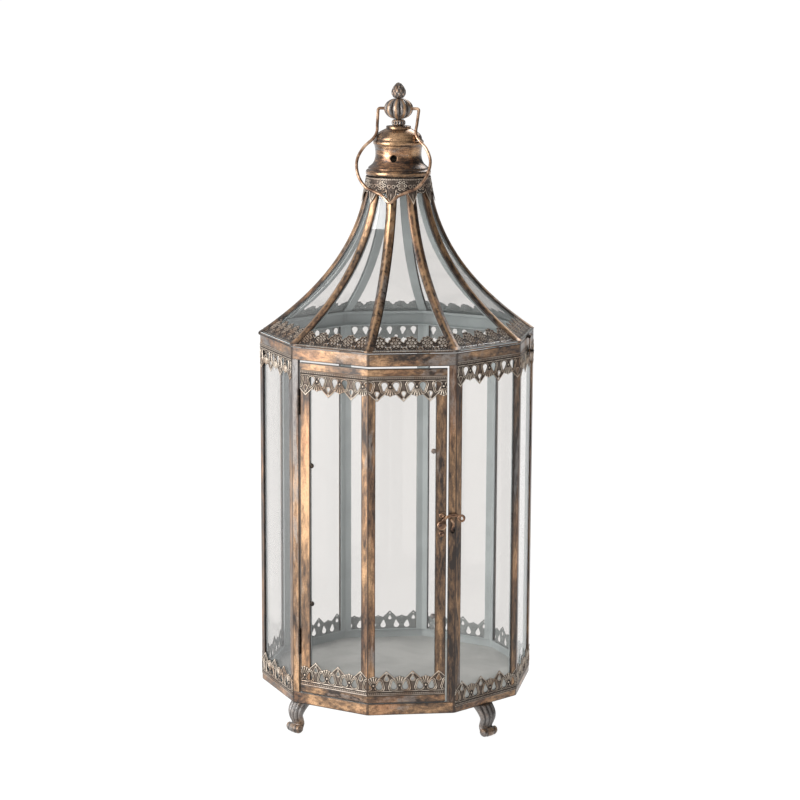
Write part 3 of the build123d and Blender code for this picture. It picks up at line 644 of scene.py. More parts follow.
def build_feet():
    """Cast scroll feet. An oval (width a cos t, depth b sin t) runs down an S-shaped leg, with four
    flutes cut in its upper front at 0.24 and 0.7 of the half width, exp of minus distance squared. The
    toe is a rolled scroll: circles along X whose radius is TOE_R (1 - 0.2 |x / half|^5), ringed by two
    grooves."""
    path = smooth_path(FOOT_PATH, 6)
    wide = smooth_path(np.array(FOOT_WIDTH)[:, None], 6)
    deep = smooth_path(np.array(FOOT_DEPTH)[:, None], 6)
    along = np.gradient(path, axis=0)
    along /= np.linalg.norm(along, axis=1)[:, None]
    t = circle(64)[None]
    flute = bump(np.abs(np.cos(t)) - 0.24, 0.1) + bump(np.abs(np.cos(t)) - 0.7, 0.1)
    flute = flute * ramp(-np.sin(t), 0.1, 0.4) * ramp(path[:, 1:], 14, 18) * ramp(36.5 - path[:, 1:], 0, 3)
    d = deep * np.sin(t) + 1.6 * flute
    r = path[:, :1] + along[:, 1:] * d
    z = np.clip(path[:, 1:] - along[:, :1] * d, 0.3, BASE - 0.1)
    leg = np.stack([wide * np.cos(t), -np.clip(r, 146.2, 168.3), z], -1)
    # Lighter on the upper outward face of the leg, partly worn bright and partly painted highlight; a little
    # darker elsewhere, and darkest in the flutes as painted shade.
    front = ramp(-np.sin(t), 0.2, 0.7) * ramp(path[:, 1:], 14, 22)
    leg_wear = np.broadcast_to(-0.35 + 0.75 * front - 1.6 * flute, r.shape)
    x = np.concatenate([[-1.0], np.linspace(-1, 1, 27), [1.0]])[:, None]
    girth = TOE_R * (1 - 0.2 * np.abs(x) ** 5) - 0.7 * bump(np.abs(x) - 0.55, 0.09)
    girth[[0, -1]] *= 0.4
    toe = xyz(x * TOE_HALF, -TOE_AT - girth * np.cos(t), TOE_R + girth * np.sin(t))
    toe[..., 2] += TOE_R - girth
    # Lighter along the top of the toe, partly worn bright and partly painted highlight; its two grooves
    # darken as painted shade.
    toe_wear = 0.9 * ramp(np.sin(t), -0.4, 0.6) - 1.6 * bump(np.abs(x) - 0.55, 0.1)
    toe_wear = np.broadcast_to(toe_wear, toe.shape[:2])
    for name, azimuth in (("front_left", -36), ("front_right", 54), ("rear_right", 144), ("rear_left", 234)):
        shell = Shell()
        for rows, wear in ((leg, leg_wear), (toe, toe_wear)):
            shell.carry(spin(rows, azimuth))
            shell.wear[-1] = wear.ravel()
        make_piece(f"case_foot_{name}", shell, "case", [f"foot_{name}"], ["foot"], crease=60)


# ---------------------------------------------------------------- pressed trim


def trim_field(x, y, x0, x1, peak):
    """How far inside the metal a point lies, and its relief in millimetres.

    Pointed leaves (a slope of 0.95) stand at peak + n pitch and fans (scalloped discs) half-way between, with
    a drop-shaped hole on each side of a fan, a spade-shaped and a round one in each leaf and an eye in each
    fan. The relief adds ribbons, exp of minus distance squared, round every hole and edge and once more
    round each drop, 5 rays (the cosine of 19 times their angle) and a knot in each fan and a row of beads.
    """
    u = np.abs((x - peak + PITCH / 2) % PITCH - PITCH / 2)
    v = np.abs((x - peak) % PITCH - PITCH / 2)
    leaf = (PEAK_H - y - 0.95 * u) / 1.38
    turn = np.arctan2(v, y - 15.4)
    fan = 7.8 + 0.45 * np.cos(9 * turn) - np.hypot(v, y - 15.4)
    outer = np.maximum(np.maximum(leaf, fan), 13.5 - y)
    ends = np.minimum(x - x0, x1 - x)
    drop = drop_distance(v, y, (6.7, 10.6), 3.55, (7.3, 16.0), 1.0)
    spade = drop_distance(u, y, (0, 19.8), 2.2, (0, 22.7), 0.5)
    tip = np.hypot(u, y - 26.2) - 0.9
    eye = np.hypot(v, y - 21.4) - 0.6
    holes = np.minimum(np.minimum(drop, spade), np.minimum(tip, eye))
    cut = np.where(ends < 1.3, 1.5 - ends, -9)
    field = np.minimum(np.minimum(outer, np.maximum(holes, cut)), np.minimum(y, ends))
    h = 0.27 + 0.42 * ridge(outer - 0.75, 0.45) * (y > 12)
    h = h + 0.46 * ridge(drop - 1.1, 0.42) - 0.3 * bump(drop, 0.4)
    h = h + 0.5 * ridge(drop - 2.9, 0.42) * (u < 9.5) * ramp(y, 5.2, 6.2) * ramp(leaf, 0.4, 1.4)
    h = h + 0.4 * ridge(spade - 0.7, 0.42) + 0.4 * bump(tip - 0.5, 0.4) + 0.3 * bump(eye - 0.5, 0.4)
    ray, reach = np.arctan2(v, y - 12), np.hypot(v, y - 12)
    inside = ramp(reach, 2.0, 3.2) * ramp(fan, 0.3, 1.0) * ramp(0.8 - ray, 0, 0.08)
    h = h + 0.6 * np.cos(19 * ray) * inside * ramp(drop, 0.8, 1.5) + 0.5 * ridge(reach - 0.2, 0.9)
    h = h + 0.4 * ridge(v - 0.5 * (12 - y), 0.42) * ramp(y, 5.6, 6.4) * ramp(10.8 - y, 0, 1)
    bead_x = (x - peak) % 2.4 - 1.2
    h = h + 0.45 * dome(np.hypot(bead_x, (y - 2.3) * 1.2) / 1.05) - 0.22 * bump(y - 2.3, 1.1)
    h = h + 0.34 * bump(y - 0.45, 0.35) + 0.42 * ridge(y - 5.0, 0.4)
    return field, np.clip(h, 0, 0.74)


def add_lace(shell, field_of, span, step, place, wrap=False):
    """Cuts a lace out of a grid by its field, lifts it by its relief and puts it in place."""
    x0, x1, y0, y1 = span
    nx, ny = int(round((x1 - x0) / step)) + (0 if wrap else 1), int(round((y1 - y0) / step)) + 1
    gx, gy = np.meshgrid(x0 + step * np.arange(nx), y0 + step * np.arange(ny), indexing="ij")
    field, _ = field_of(gx, gy)
    x, y, faces = lattice(field, x0, y0, step, wrap)
    _, height = field_of(x, y)
    # The per-point value is the relief height, which the lace finish turns into painted shade in the hollows
    # and painted highlight on the raised parts.
    shell.add(place(x, y, height), [(f, 0) for f in faces], np.clip(height / 0.75, 0, 1), closed=False)
    return shell


def trim_strip(x0, x1, peak, z, upward, k):
    """One strip of pressed trim on face k."""
    sign = 1 if upward else -1
    relief = bpy.context.scene.cloche_look.lace_relief

    def place(x, y, height):
        return on_face(np.stack([x, -APOTHEM - 0.03 - height * relief, z + sign * y], -1), k)

    step = 0.5
    shell = Shell()
    span = (x0 - step * 0.37, x1 + step, -step * 0.37, PEAK_H + step)
    return add_lace(shell, lambda x, y: trim_field(x, y, x0, x1, peak), span, step, place)


def build_case_trim():
    """Strips of pressed trim round the foot and the head of the eight fixed faces."""
    half = FACE_W / 2 - TRIM_END
    for k in range(1, SIDES - 1):
        for end, (label, z) in enumerate((("lower", LOWER_TRIM_Z), ("upper", UPPER_TRIM_Z))):
            shell = trim_strip(-half, half, WALL_PEAK[end], z, end == 0, k)
            make_lace(f"case_{label}_trim_{k}", shell, "case", f"{label}_trim")


def build_door_trim():
    """Strips of pressed trim on the rails of the door."""
    edge, corner = FACE_W / 2 - DOOR_EDGE - 0.6, FACE_W / 2 - TRIM_END
    for end, label in enumerate(("lower", "upper")):
        z, upward = DOOR_TRIM_Z[end], end == 0
        left = trim_strip(-edge, corner, LEFT_PEAK[end], z, upward, SIDES - 1)
        right = trim_strip(-corner, edge, RIGHT_PEAK[end], z, upward, 0)
        for side, shell in (("left", left), ("right", right)):
            make_lace(f"door_{label}_trim_{side}", shell, "door", f"door_{label}_trim")


# ---------------------------------------------------------------- door


def build_door_frame():
    """Door frame: stiles, the bar at the front corner and two rails bent round it."""
    z0, z1 = DOOR_Z0 + RAIL_H, DOOR_Z1 - RAIL_H
    middle = Shell()
    upright(middle, bar_outline(True, True), z0, z1, 0)
    make_piece("door_middle", middle, "door", ["door_middle_bar"], ["bar", "primer"])
    for name, side, k in (("hinge", -1, SIDES - 1), ("latch", 1, 0)):
        x, inner = side * (FACE_W / 2 - DOOR_EDGE), side * (FACE_W / 2 - DOOR_EDGE - STILE_W)
        lip = inner + side * REBATE
        rebate = [(inner, LIP), (lip, LIP), (lip, LIP + GLASS), (inner, LIP + GLASS)]
        section, wear = soften([(x, 0), (inner, 0), *rebate, (inner, BAR_D), (x, BAR_D)], 0.5)
        depth = middles(section)[:, 1]
        z = np.linspace(z0, z1, 24)
        rows = xyz(section[None, :, 0], section[None, :, 1] - APOTHEM, z[:, None])
        shell = Shell().carry(on_face(rows, k), wear, (depth > PRIMED).astype(int))
        stile = f"door_{name}_stile"
        make_piece(f"door_{name}_side", shell, "door", [stile], ["bar", "primer"])
    for name, low, high in (("bottom", DOOR_Z0, z0), ("top", z1, DOOR_Z1)):
        section, wear = soften([(0, low), (0, high), (BAR_D, high), (BAR_D, low)], 0.5)
        depth = middles(section)[:, 0]
        edge, corner = FACE_W / 2 - DOOR_EDGE, FACE_W / 2 - TRIM_END
        rows = []
        for k, start, end in ((SIDES - 1, -edge, corner), (0, -corner, edge)):
            xs = np.linspace(start, end, 14)
            flat = xyz(xs[:, None], section[None, :, 0] - APOTHEM, section[None, :, 1])
            rows.append(on_face(flat, k))
        shell = Shell().carry(np.vstack(rows), wear, (depth > PRIMED).astype(int))
        make_piece(f"door_{name}_bar", shell, "door", [f"door_{name}_rail"], ["rim", "primer"])


def button(shell, profile, x, z, k, finish=0, sides=28):
    """Turns a profile of (radius, height off the face) about an axis square to face k, in one finish."""
    p = smooth_path(profile, 4)
    t = circle(sides)
    rows = xyz(x + p[:, :1] * np.cos(t), -APOTHEM - p[:, 1:2], z + p[:, :1] * np.sin(t))
    shell.carry(on_face(rows, k), 0, finish)


# Profiles of small turned parts: (radius, height off the face)
CLIP = [(0.05, -1.1), (2.6, -1.1), (2.95, -0.6), (2.8, 0.1), (2.0, 0.6), (0.9, 0.78), (0.05, 0.8)]
EYELET = [
    (0.05, 0.85), (3.0, 0.85), (3.2, 1.2), (2.7, 1.8), (1.9, 1.85), (1.3, 1.5), (1.0, 1.0), (0.05, 0.95)]
LATCH_STUD = [
    (0.05, 0.8), (2.64, 0.8), (2.64, 5.4), (3.4, 5.6), (3.6, 6.0), (3.1, 6.45), (1.6, 6.58), (0.05, 6.6)]
HASP_STUD = [(0.05, 0.85), (3.3, 0.85), (3.3, 1.7), (1.7, 2.0), (1.58, 6.6), (1.5, 7.9), (0.05, 8.15)]


def build_door_hardware():
    """Glass clips, latch plate with its eyelet rivets and stud, the bent catch and the hinges."""
    clips = Shell()
    for side, k, z in ((-1, 9, 289), (-1, 9, 124), (1, 0, 313), (1, 0, 118)):
        x = side * (FACE_W / 2 - DOOR_EDGE - STILE_W - 2.4)
        button(clips, CLIP, x, BASE + z, k, int(side > 0))
    make_piece("door_clips", clips, "door", ["door_glass_clips"], ["iron", "cast"])
    x = FACE_W / 2 - LATCH_S
    rivets = Shell()
    for dz in (-10.4, 11.0):
        button(rivets, EYELET, x, LATCH_Z + dz, 0)
    make_piece("door_rivets", rivets, "door", ["door_latch_rivets"], ["wire"])
    rivet = Shell()
    small = [(r * 0.9, h) for r, h in EYELET]
    button(rivet, small, FACE_W / 2 - CATCH_S, LATCH_Z - 7.6, 0)
    make_piece("case_catch_rivet", rivet, "case", ["door_catch_rivet"], ["iron"])
    stud = Shell()
    button(stud, LATCH_STUD, x, LATCH_Z, 0)
    make_piece("door_stud", stud, "door", ["door_latch_stud"], ["wire"])
    dress_node("door_latch_plate", "bar", 0.25)
    line = [(12.6, 0.9, -7.4), (12.2, 2.4, -4), (13.6, 3.4, 0), (12.2, 4.2, 4.4), (10.4, 5.6, 7.2)]
    curl = smooth_path([(x + along, out, up) for along, out, up in line], 12)
    rows = tube(curl * [1, -1, 1] + [0, -APOTHEM, LATCH_Z], 1.5, 16, 0.2, 2.4)
    catch = Shell().carry(on_face(rows, 0))
    make_piece("case_catch_curl", catch, "case", ["door_catch"], ["wire"], 60)
    for name in ("door_hinge_fixed_leaves", "door_hinge_moving_leaves", "door_hinge_pins"):
        dress_node(name, "iron", 0.12)


def tube(path, radius, sides=14, oval=0.0, turns=0.0):
    """Rod on a path (n by 3), radius (1 - 2 oval (1 - |cos(t - twist)|)) at angle t round it.

    With oval above 0 it has two lobes, and they wind round the path by the given number of turns.
    """
    path = np.asarray(path, float)
    along = np.gradient(path, axis=0)
    along /= np.linalg.norm(along, axis=1)[:, None]
    flat = np.linalg.svd(path - path.mean(0))[2][2]
    side = np.cross(along, flat)
    side /= np.linalg.norm(side, axis=1)[:, None]
    up = np.cross(side, along)
    t = circle(sides)[None]
    twist = np.linspace(0, turns * 2 * pi, len(path))[:, None]
    r = (radius * (1 - 2 * oval + 2 * oval * np.abs(np.cos(t - twist))))[..., None]
    t = t[..., None]
    return path[:, None] + side[:, None] * (r * np.cos(t)) + up[:, None] * (r * np.sin(t))


def ring_rows(cx, cz, radius, wire, sides=14, count=40):
    """Ring of wire in the plane of the door face."""
    a = circle(count)[:, None]
    t = circle(sides)[None]
    r = radius + wire * np.cos(t)
    out = -APOTHEM - HOOK_OUT + wire * np.sin(t)
    return xyz(cx + r * np.cos(a), out, cz + r * np.sin(a))


def build_door_hook():
    """Wire hook: an eye round the stud, a shank of two twisted strands over the catch and a finger ring."""
    x = FACE_W / 2 - LATCH_S
    eye = STUD_R + 0.06 + HOOK_R
    shell = Shell()
    finger = ring_rows(x + FINGER_X, LATCH_Z + FINGER_Z, FINGER_R, HOOK_R)
    for rows in (ring_rows(x, LATCH_Z, eye, HOOK_R), finger):
        shell.carry(on_face(rows, 0), 0, closed_path=True)
    line = smooth_path([(-0.3, eye), (3.0, 7.4), (7.2, 10.3), (12.2, 11.8), (16.8, 11.6), (20.2, 10.0)], 14)
    for shift in (-0.9, 0.9):
        path = xyz(x + line[:, 0], -APOTHEM - HOOK_OUT, LATCH_Z + line[:, 1] + shift)
        rows = tube(path, 1.15, 16, 0.15, 2.2 * shift)
        shell.carry(on_face(rows, 0))
    make_piece("door_hook_wire", shell, "door_hook", ["door_hook"], ["wire"], 60)


# ---------------------------------------------------------------- roof


def roof_radius(z):
    """Corner radius of the roof, ROOF_TOP_R + ROOF_SPREAD (0.19 u + 0.54 u^2 + 0.27 u^3),
    where u falls from 1 at the eaves."""
    u = (BASE + 608.0 - z) / ROOF_RISE
    return ROOF_TOP_R + ROOF_SPREAD * (0.19 * u + 0.54 * u**2 + 0.27 * u**3)


def roof_point(z, depth, spread=1.0):
    """Radius and height of a point depth inside the roof line whose radius is scaled by spread."""
    slope = (roof_radius(z + 0.5) - roof_radius(z - 0.5)) * spread
    norm = np.hypot(1, slope)
    return roof_radius(z) * spread - depth / norm, z + depth * slope / norm, norm


def build_roof_frame():
    """Roof rim and ten glazing ribs: a half-round cap over the joint of two panes and a flat strip inside."""
    rim, skirt = Shell(), RIM_LEDGE - SHEET
    z0, z1 = ROOF_Z + 1.1, ROOF_Z + ROOF_RIM_H
    outer = [(0, z0), (0, z1), (RIM_LEDGE, z1), (RIM_LEDGE, z0)]
    ten_sided(rim, outer + [(skirt, z0), (skirt, z1 - SHEET), (SHEET, z1 - SHEET), (SHEET, z0)])
    make_piece("roof_rim_band", rim, "roof", ["roof_rim"], ["rim", "primer"])
    t = np.linspace(0, pi, 15)
    cap = np.stack([6.2 * np.cos(t), 2.5 - 2.35 * np.sin(t) ** 0.8], -1)
    tee = np.array([(2.4, 2.7), (2.4, 4.7), (5.0, 4.7), (5.0, 5.75)])
    section = np.vstack([cap, tee * [-1, 1], tee[::-1]])
    sides = np.r_[np.zeros(15), np.ones(8)].astype(int)
    # Painted highlight along the crown of the cap, just to one side of its middle and partly worn bright;
    # both edges of the cap darken as painted shade.
    wear = np.r_[0.9 * bump(cap[:, 0] + 1, 2) - ramp(np.abs(cap[:, 0]), 4.2, 6), np.zeros(8)]
    z = RIB_Z0 + (RIB_Z1 - RIB_Z0) * np.linspace(0, 1, 44)
    _, _, norm = roof_point(z, 0)
    droop = TAN_H * np.abs(section[None, :, 0]) / norm[:, None]
    r, height, _ = roof_point(z[:, None], section[None, :, 1] + droop)
    height = np.clip(height, RIB_Z0, RIB_Z1)
    rows = xyz(section[None, :, 0], -np.minimum(r, R_CASE + 0.3), height)
    shell = Shell()
    for k in range(SIDES):
        shell.carry(spin(rows, STEP * k), wear, sides)
    make_piece("roof_rib_bars", shell, "roof", ["roof_ribs"], ["rib", "primer"])


def build_roof_panes():
    """Ten curved panes, each a strip of the roof line 2.2 mm thick, straight across and tapering upward."""
    z = RIB_Z0 + (RIB_Z1 - RIB_Z0) * np.linspace(0, 1, 40)
    rows = []
    for depth, order in ((PANE_IN, 1), (PANE_IN + GLASS, -1)):
        r, height, _ = roof_point(z, depth, COS_H)
        half = r * TAN_H - WEB / COS_H
        edge = np.linspace(-1, 1, 5)[::order]
        height = np.clip(height, RIB_Z0, RIB_Z1)
        rows.append(xyz(half[:, None] * edge, -r[:, None], height[:, None]))
    section = np.concatenate(rows, axis=1)
    shell = Shell()
    for k in range(SIDES):
        shell.carry(on_face(section, k))
    make_piece("roof_curved_panes", shell, "roof", ["roof_panes"], ["glass"])


def eaves_field(x, y):
    """Lace at the eaves: scallops EAVES_PITCH apart over a band, pierced by rosettes of six small holes.
    The relief is rings about each rosette, exp of minus distance squared, some broken by the cosine of 12
    times the angle, with curls between and a beaded foot."""
    s = (x + EAVES_PITCH / 2) % EAVES_PITCH - EAVES_PITCH / 2
    g = x % EAVES_PITCH - EAVES_PITCH / 2
    d = np.hypot(s, y - 14.2)
    turn = np.arctan2(y - 14.2, s)
    outer = np.maximum(8.0 + 0.5 * np.cos(9 * turn) - d, (22.6 - y - 0.8 * np.abs(s)) / 1.28)
    outer = np.maximum(np.minimum(outer, 23 - y), 11.8 - y)
    six = np.round(turn / (pi / 3)) * pi / 3
    petal = np.hypot(s - 4.3 * np.cos(six), y - 14.2 - 4.3 * np.sin(six))
    curl_d = np.hypot(g, y - 6.8)
    curl = np.arctan2(y - 6.8, g)
    holes = np.minimum(petal - 0.6, np.minimum(d - 0.5, np.hypot(np.abs(g) - 2.6, y - 9.6) - 0.8))
    holes = np.minimum(holes, np.hypot((x + 2.1) % 4.25 - 2.1, y - 4.4) - 0.7)
    field = np.minimum(np.minimum(outer, holes), y)
    h = 0.2 + 0.4 * ridge(outer - 0.7, 0.45) * (y > 11)
    h = h + 0.44 * ridge(petal - 1.3, 0.45) + 0.4 * bump(d - 1.5, 0.5)
    h = h + 0.4 * ridge(d - 6.4, 0.5) * (0.5 + 0.5 * np.cos(12 * turn))
    h = h + 0.32 * np.clip(np.cos(curl + curl_d * 2.0), 0, 1) * ramp(5.2 - curl_d, 0, 1)
    h = h + 0.35 * dome(np.hypot((x % 2.1) - 1.05, y - 1.6) / 0.9) + 0.2 * bump(y - 3.0, 0.35)
    return field, np.clip(h, 0, 0.78)


def collar_field(x, y):
    """Lace round the collar: ten rosettes between ten pointed leaves that hang over the ribs."""
    pitch = 2 * pi * COLLAR_R / SIDES
    u = (x + pitch / 2) % pitch - pitch / 2
    v = x % pitch - pitch / 2
    d, turn = np.hypot(v, y - 8.4), np.arctan2(y - 8.4, v)
    leaf = np.minimum((30.4 - y) * 0.5, 6.2 - 0.12 * (y - 16)) - np.abs(u)
    lobe = 9.0 - np.hypot(v, y - 9.0)
    outer = np.maximum(np.maximum(leaf * 0.9, lobe), 12.5 - y)
    six = np.round(turn / (pi / 3)) * pi / 3
    petal = np.hypot(v - 4.4 * np.cos(six), y - 8.4 - 4.4 * np.sin(six))
    side = np.hypot(np.abs(u) - 2.6, y - 9.5)
    holes = np.minimum(np.minimum(petal - 0.9, d - 0.8), np.minimum(side - 1.0, np.hypot(u, y - 15.5) - 0.9))
    field = np.minimum(np.minimum(outer, holes), y)
    h = 0.22 + 0.4 * ridge(outer - 0.7, 0.45) + 0.44 * ridge(petal - 1.4, 0.5) + 0.4 * bump(d - 1.6, 0.5)
    h = h + 0.28 * bump(side - 1.7, 0.5) + 0.3 * bump(d - 7.2, 0.5) * (0.5 + 0.5 * np.cos(10 * turn))
    vein = 0.3 * bump(u, 0.6) + 0.24 * bump(np.abs(u) - 0.32 * (30 - y), 0.5)
    h = h + vein * ramp(y, 17, 19)
    h = h + 0.34 * dome(np.hypot(x % 2.2 - 1.1, y - 1.4) / 0.9)
    return field, np.clip(h, 0, 0.78)


def build_roof_lace():
    """Scalloped lace on the foot of each roof face and the lace sleeve round the collar."""
    z = np.linspace(RIB_Z0, RIB_Z0 + 34, 120)
    r, height, norm = roof_point(z, PANE_IN - 0.1, COS_H)
    r, height, norm = np.r_[APOTHEM, APOTHEM, r], np.r_[ROOF_Z + 2.2, RIB_Z0, height], np.r_[1, 1, norm]
    climb = np.concatenate([[0], np.cumsum(np.hypot(np.diff(r), np.diff(height)))])
    for k in range(SIDES):
        length = climb if k in (0, SIDES - 1) else climb - climb[1] - 0.6

        def eaves(x, y):
            field, h = eaves_field(x, y / EAVES_STRETCH)
            half = np.interp(y, length, r) * TAN_H - 5.2
            return np.minimum(field, half - np.abs(x)), h

        def place(x, y, h):
            lift = 0.05 + h
            slope = np.interp(y, length, norm)
            out = lift / slope
            rise = lift * np.sqrt(1 - 1 / slope**2)
            level = np.interp(y, length, height) + rise
            return on_face(xyz(x, -np.interp(y, length, r) - out, level), k)

        shell = add_lace(Shell(), eaves, (-46.2, 46.2, -0.2, 23.2 * EAVES_STRETCH), 0.55, place)
        make_lace(f"roof_lace_{k}", shell, "roof", "roof_trim")

    low = RIB_Z1 - 15.0
    levels = [low - 1, RIB_Z1, COLLAR_Z1 - 0.2]
    radii = [roof_radius(low) + 0.4, roof_radius(RIB_Z1) + 0.4, 37.95]

    def sleeve(x, y, h):
        level = COLLAR_Z1 - 0.3 - y
        reach = np.interp(level, levels, radii) + 0.1 + h
        angle = x / COLLAR_R
        return np.stack([reach * np.sin(angle), -reach * np.cos(angle), level], -1)

    around = 2 * pi * COLLAR_R
    shell = add_lace(Shell(), collar_field, (0, around, -0.2, 31), around / 440, sleeve, wrap=True)
    make_lace("roof_collar_lace", shell, "roof", "collar_trim")
    dress_node("roof_collar", "iron")


# Cap from the foot up: (radius, height over BASE)
CAP_LINE = [
    (34.2, 614.3), (36.4, 614.2), (38.2, 615.5), (38.65, 617.9), (38.2, 620.2), (36.6, 621.5),
    (35.7, 622.1), (35.9, 623.2), (35.2, 624.3), (33.4, 625.7), (30.6, 628.3), (28.5, 632.1),
    (27.5, 636.7), (27.3, 641.0), (27.7, 645.3), (28.4, 649.1), (28.6, 650.1), (29.6, 651.1),
    (30.0, 653.1), (29.6, 655.1), (28.5, 656.2), (28.0, 657.5), (27.3, 660.1), (25.2, 663.3),
    (21.6, 666.1), (17.4, 668.2), (15.4, 669.1), (14.9, 669.5), (14.8, 670.7), (14.6, 672.0),
    (13.6, 672.6), (9.0, 672.6), (5.2, 672.6),
]


def build_cap():
    """Spun cap: the outline turned about Z, with two round vents cut where the waist is."""
    line = smooth_path(CAP_LINE, 3)
    rows = len(line)
    around = 144

    def at(y):
        return np.interp(y, np.arange(rows), line[:, 0]), np.interp(y, np.arange(rows), line[:, 1])

    def field_of(x, y):
        _, z = at(y)
        angle = x * 2 * pi / around
        turn = np.minimum(np.abs((angle + pi) % (2 * pi) - pi), np.abs(angle % (2 * pi) - pi))
        hole = np.hypot(turn * 27.4, z - 636) - 4.1
        # Colour only, not shape: painted shade in a ring round each vent and in three grooves, painted
        # highlights on the beads and a broad one on the dome.
        ring = -0.5 * bump(hole, 0.9)
        groove = -0.8 * bump(z - 622.2, 0.7) - 0.8 * bump(z - 656.5, 0.7) - 0.7 * bump(z - 650.2, 0.6)
        edge = 0.8 * bump(z - 618, 1.3) + 0.8 * bump(z - 653.2, 1.2)
        edge = edge + 0.5 * bump(z - 671.8, 0.8) + 0.3 * bump(z - 660, 4)
        return hole, np.clip(ring + groove + edge, -1, 1)

    def place(x, y):
        r, z = at(y)
        angle = x * 2 * pi / around
        return np.stack([r * np.sin(angle), -r * np.cos(angle), z + BASE], -1)

    gx, gy = np.meshgrid(np.arange(around), np.arange(rows), indexing="ij")
    x, y, faces = lattice(field_of(gx, gy)[0], 0, 0, 1.0, True)
    shell = Shell().add(place(x, y), [(f, 0) for f in faces], field_of(x, y)[1], closed=False)
    make_piece("roof_cap_spun", shell, "roof", ["roof_cap"], ["spun", "iron"], 45, 0.8)


def turned_rows(line, around, shape):
    """Turns a profile about Z; shape(angle, share along) multiplies the radius."""
    p = smooth_path(line, 6)
    a = circle(around)
    share = np.linspace(0, 1, len(p))
    factor = shape(a[None], share[:, None])
    r = p[:, :1] * factor
    return xyz(r * np.sin(a), -r * np.cos(a), p[:, 1:2]), factor


def build_finial():
    """Beaded neck, ten-lobed melon and leafy bud, each a turned outline whose radius is carved by cosines."""

    def add(name, node_name, line, around, shape, low, high):
        rows, factor = turned_rows([(r, z + BASE) for r, z in line], around, shape)
        shell = Shell().carry(rows)
        # Middles of the lobes, beads and leaves take the highlight colour, partly worn bright and partly
        # painted highlight; the grooves between them darken as painted shade.
        shell.wear[-1] = 2 * np.clip((factor - low) / (high - low), 0, 1).ravel() ** 3 - 1
        make_piece(name, shell, "roof", [node_name], ["cast"], 60)

    neck = [(3.2, 672.7), (6.4, 673.0), (8.0, 674.6), (8.2, 676.4), (8.0, 678.0), (6.4, 679.8), (3.2, 680.1)]
    add("roof_neck_bead", "neck_bead", neck, 120,
        lambda a, s: 1 - 0.16 * (0.5 - 0.5 * np.cos(14 * a)) * (0.55 + 0.45 * np.cos(s * 4 * pi)), 0.84, 1.0)
    mid, tall = 692.6, 12.3
    t = np.linspace(-0.5 * pi + 0.26, 0.5 * pi - 0.30, 12)
    melon = [(17.3 * cos(v) ** 0.86, mid + tall * sin(v)) for v in t]
    add("roof_melon", "finial_melon", [(0.3, 680.3), *melon, (0.3, 704.8)], 200,
        lambda a, s: 1 - 0.2 * (1 - np.abs(np.cos(5 * a)) ** 0.45) * np.sin(pi * np.clip(s, 0, 1)) ** 0.5,
        0.82, 1.0)
    bud = [
        (0.3, 705.0), (4.6, 705.1), (7.2, 707.0), (8.7, 710.4), (8.6, 713.2), (7.2, 716.8), (5.2, 719.8),
        (2.8, 722.3), (0.3, 723.4)]
    add("roof_bud", "finial_bud", bud, 120,
        lambda a, s: 1 - 0.13 * (1 - np.abs(np.sin(5 * a + 9 * s) * np.sin(5 * a - 9 * s)) ** 0.4), 0.86, 1.0)
    dress_node("finial_rod", "iron")


def build_bail():
    """Wire bail: straight pins and arms, a round loop and a small dip at its foot, leaning forward."""
    half = [(24.2, -1.4), (24.4, -3), (23.4, -29.5), (27, -38), (37.8, -50), (43.9, -66), (40.8, -84),
            (31.2, -98), (19.6, -104), (9.6, -109), (3.2, -115.6), (0, -117.3)]
    start = [(13.8, 0), (18.0, 0), (22.0, 0), (23.6, -0.5)]
    arm = [(24.1, -11), (23.75, -20)]
    side = np.array(start + half[:2] + arm + half[2:])
    line = np.vstack([side, side[-2::-1] * [-1, 1]])
    flat = smooth_path(line, 9)
    lean = radians(BAIL_LEAN)
    path = np.stack([flat[:, 0], flat[:, 1] * sin(lean), BAIL_Z + flat[:, 1] * cos(lean)], -1)
    shell = Shell().carry(tube(path, bpy.context.scene.cloche_look.bail_wire / MM / 2, 16))
    make_piece("bail_wire", shell, "bail", ["bail"], ["wire"], 60)


def build_roof_hardware():
    """Long hinge on the left of the roof and hasp with its stud on the right."""
    for name in ("roof_hinge_fixed_leaf", "roof_hinge_moving_leaf", "roof_hinge_pin", "roof_hasp_pin"):
        dress_node(name, "iron", 0.15)
    dress_node("roof_hasp_plate", "iron", 0.15)
    dress_node("roof_hasp", "bar", 0.2)
    stud = Shell()
    button(stud, HASP_STUD, 0, ROOF_Z + 2.3 - HASP_DROP, 2)
    make_piece("case_hasp_stud", stud, "case", ["roof_hasp_stud"], ["iron"])


# ---------------------------------------------------------------- stage


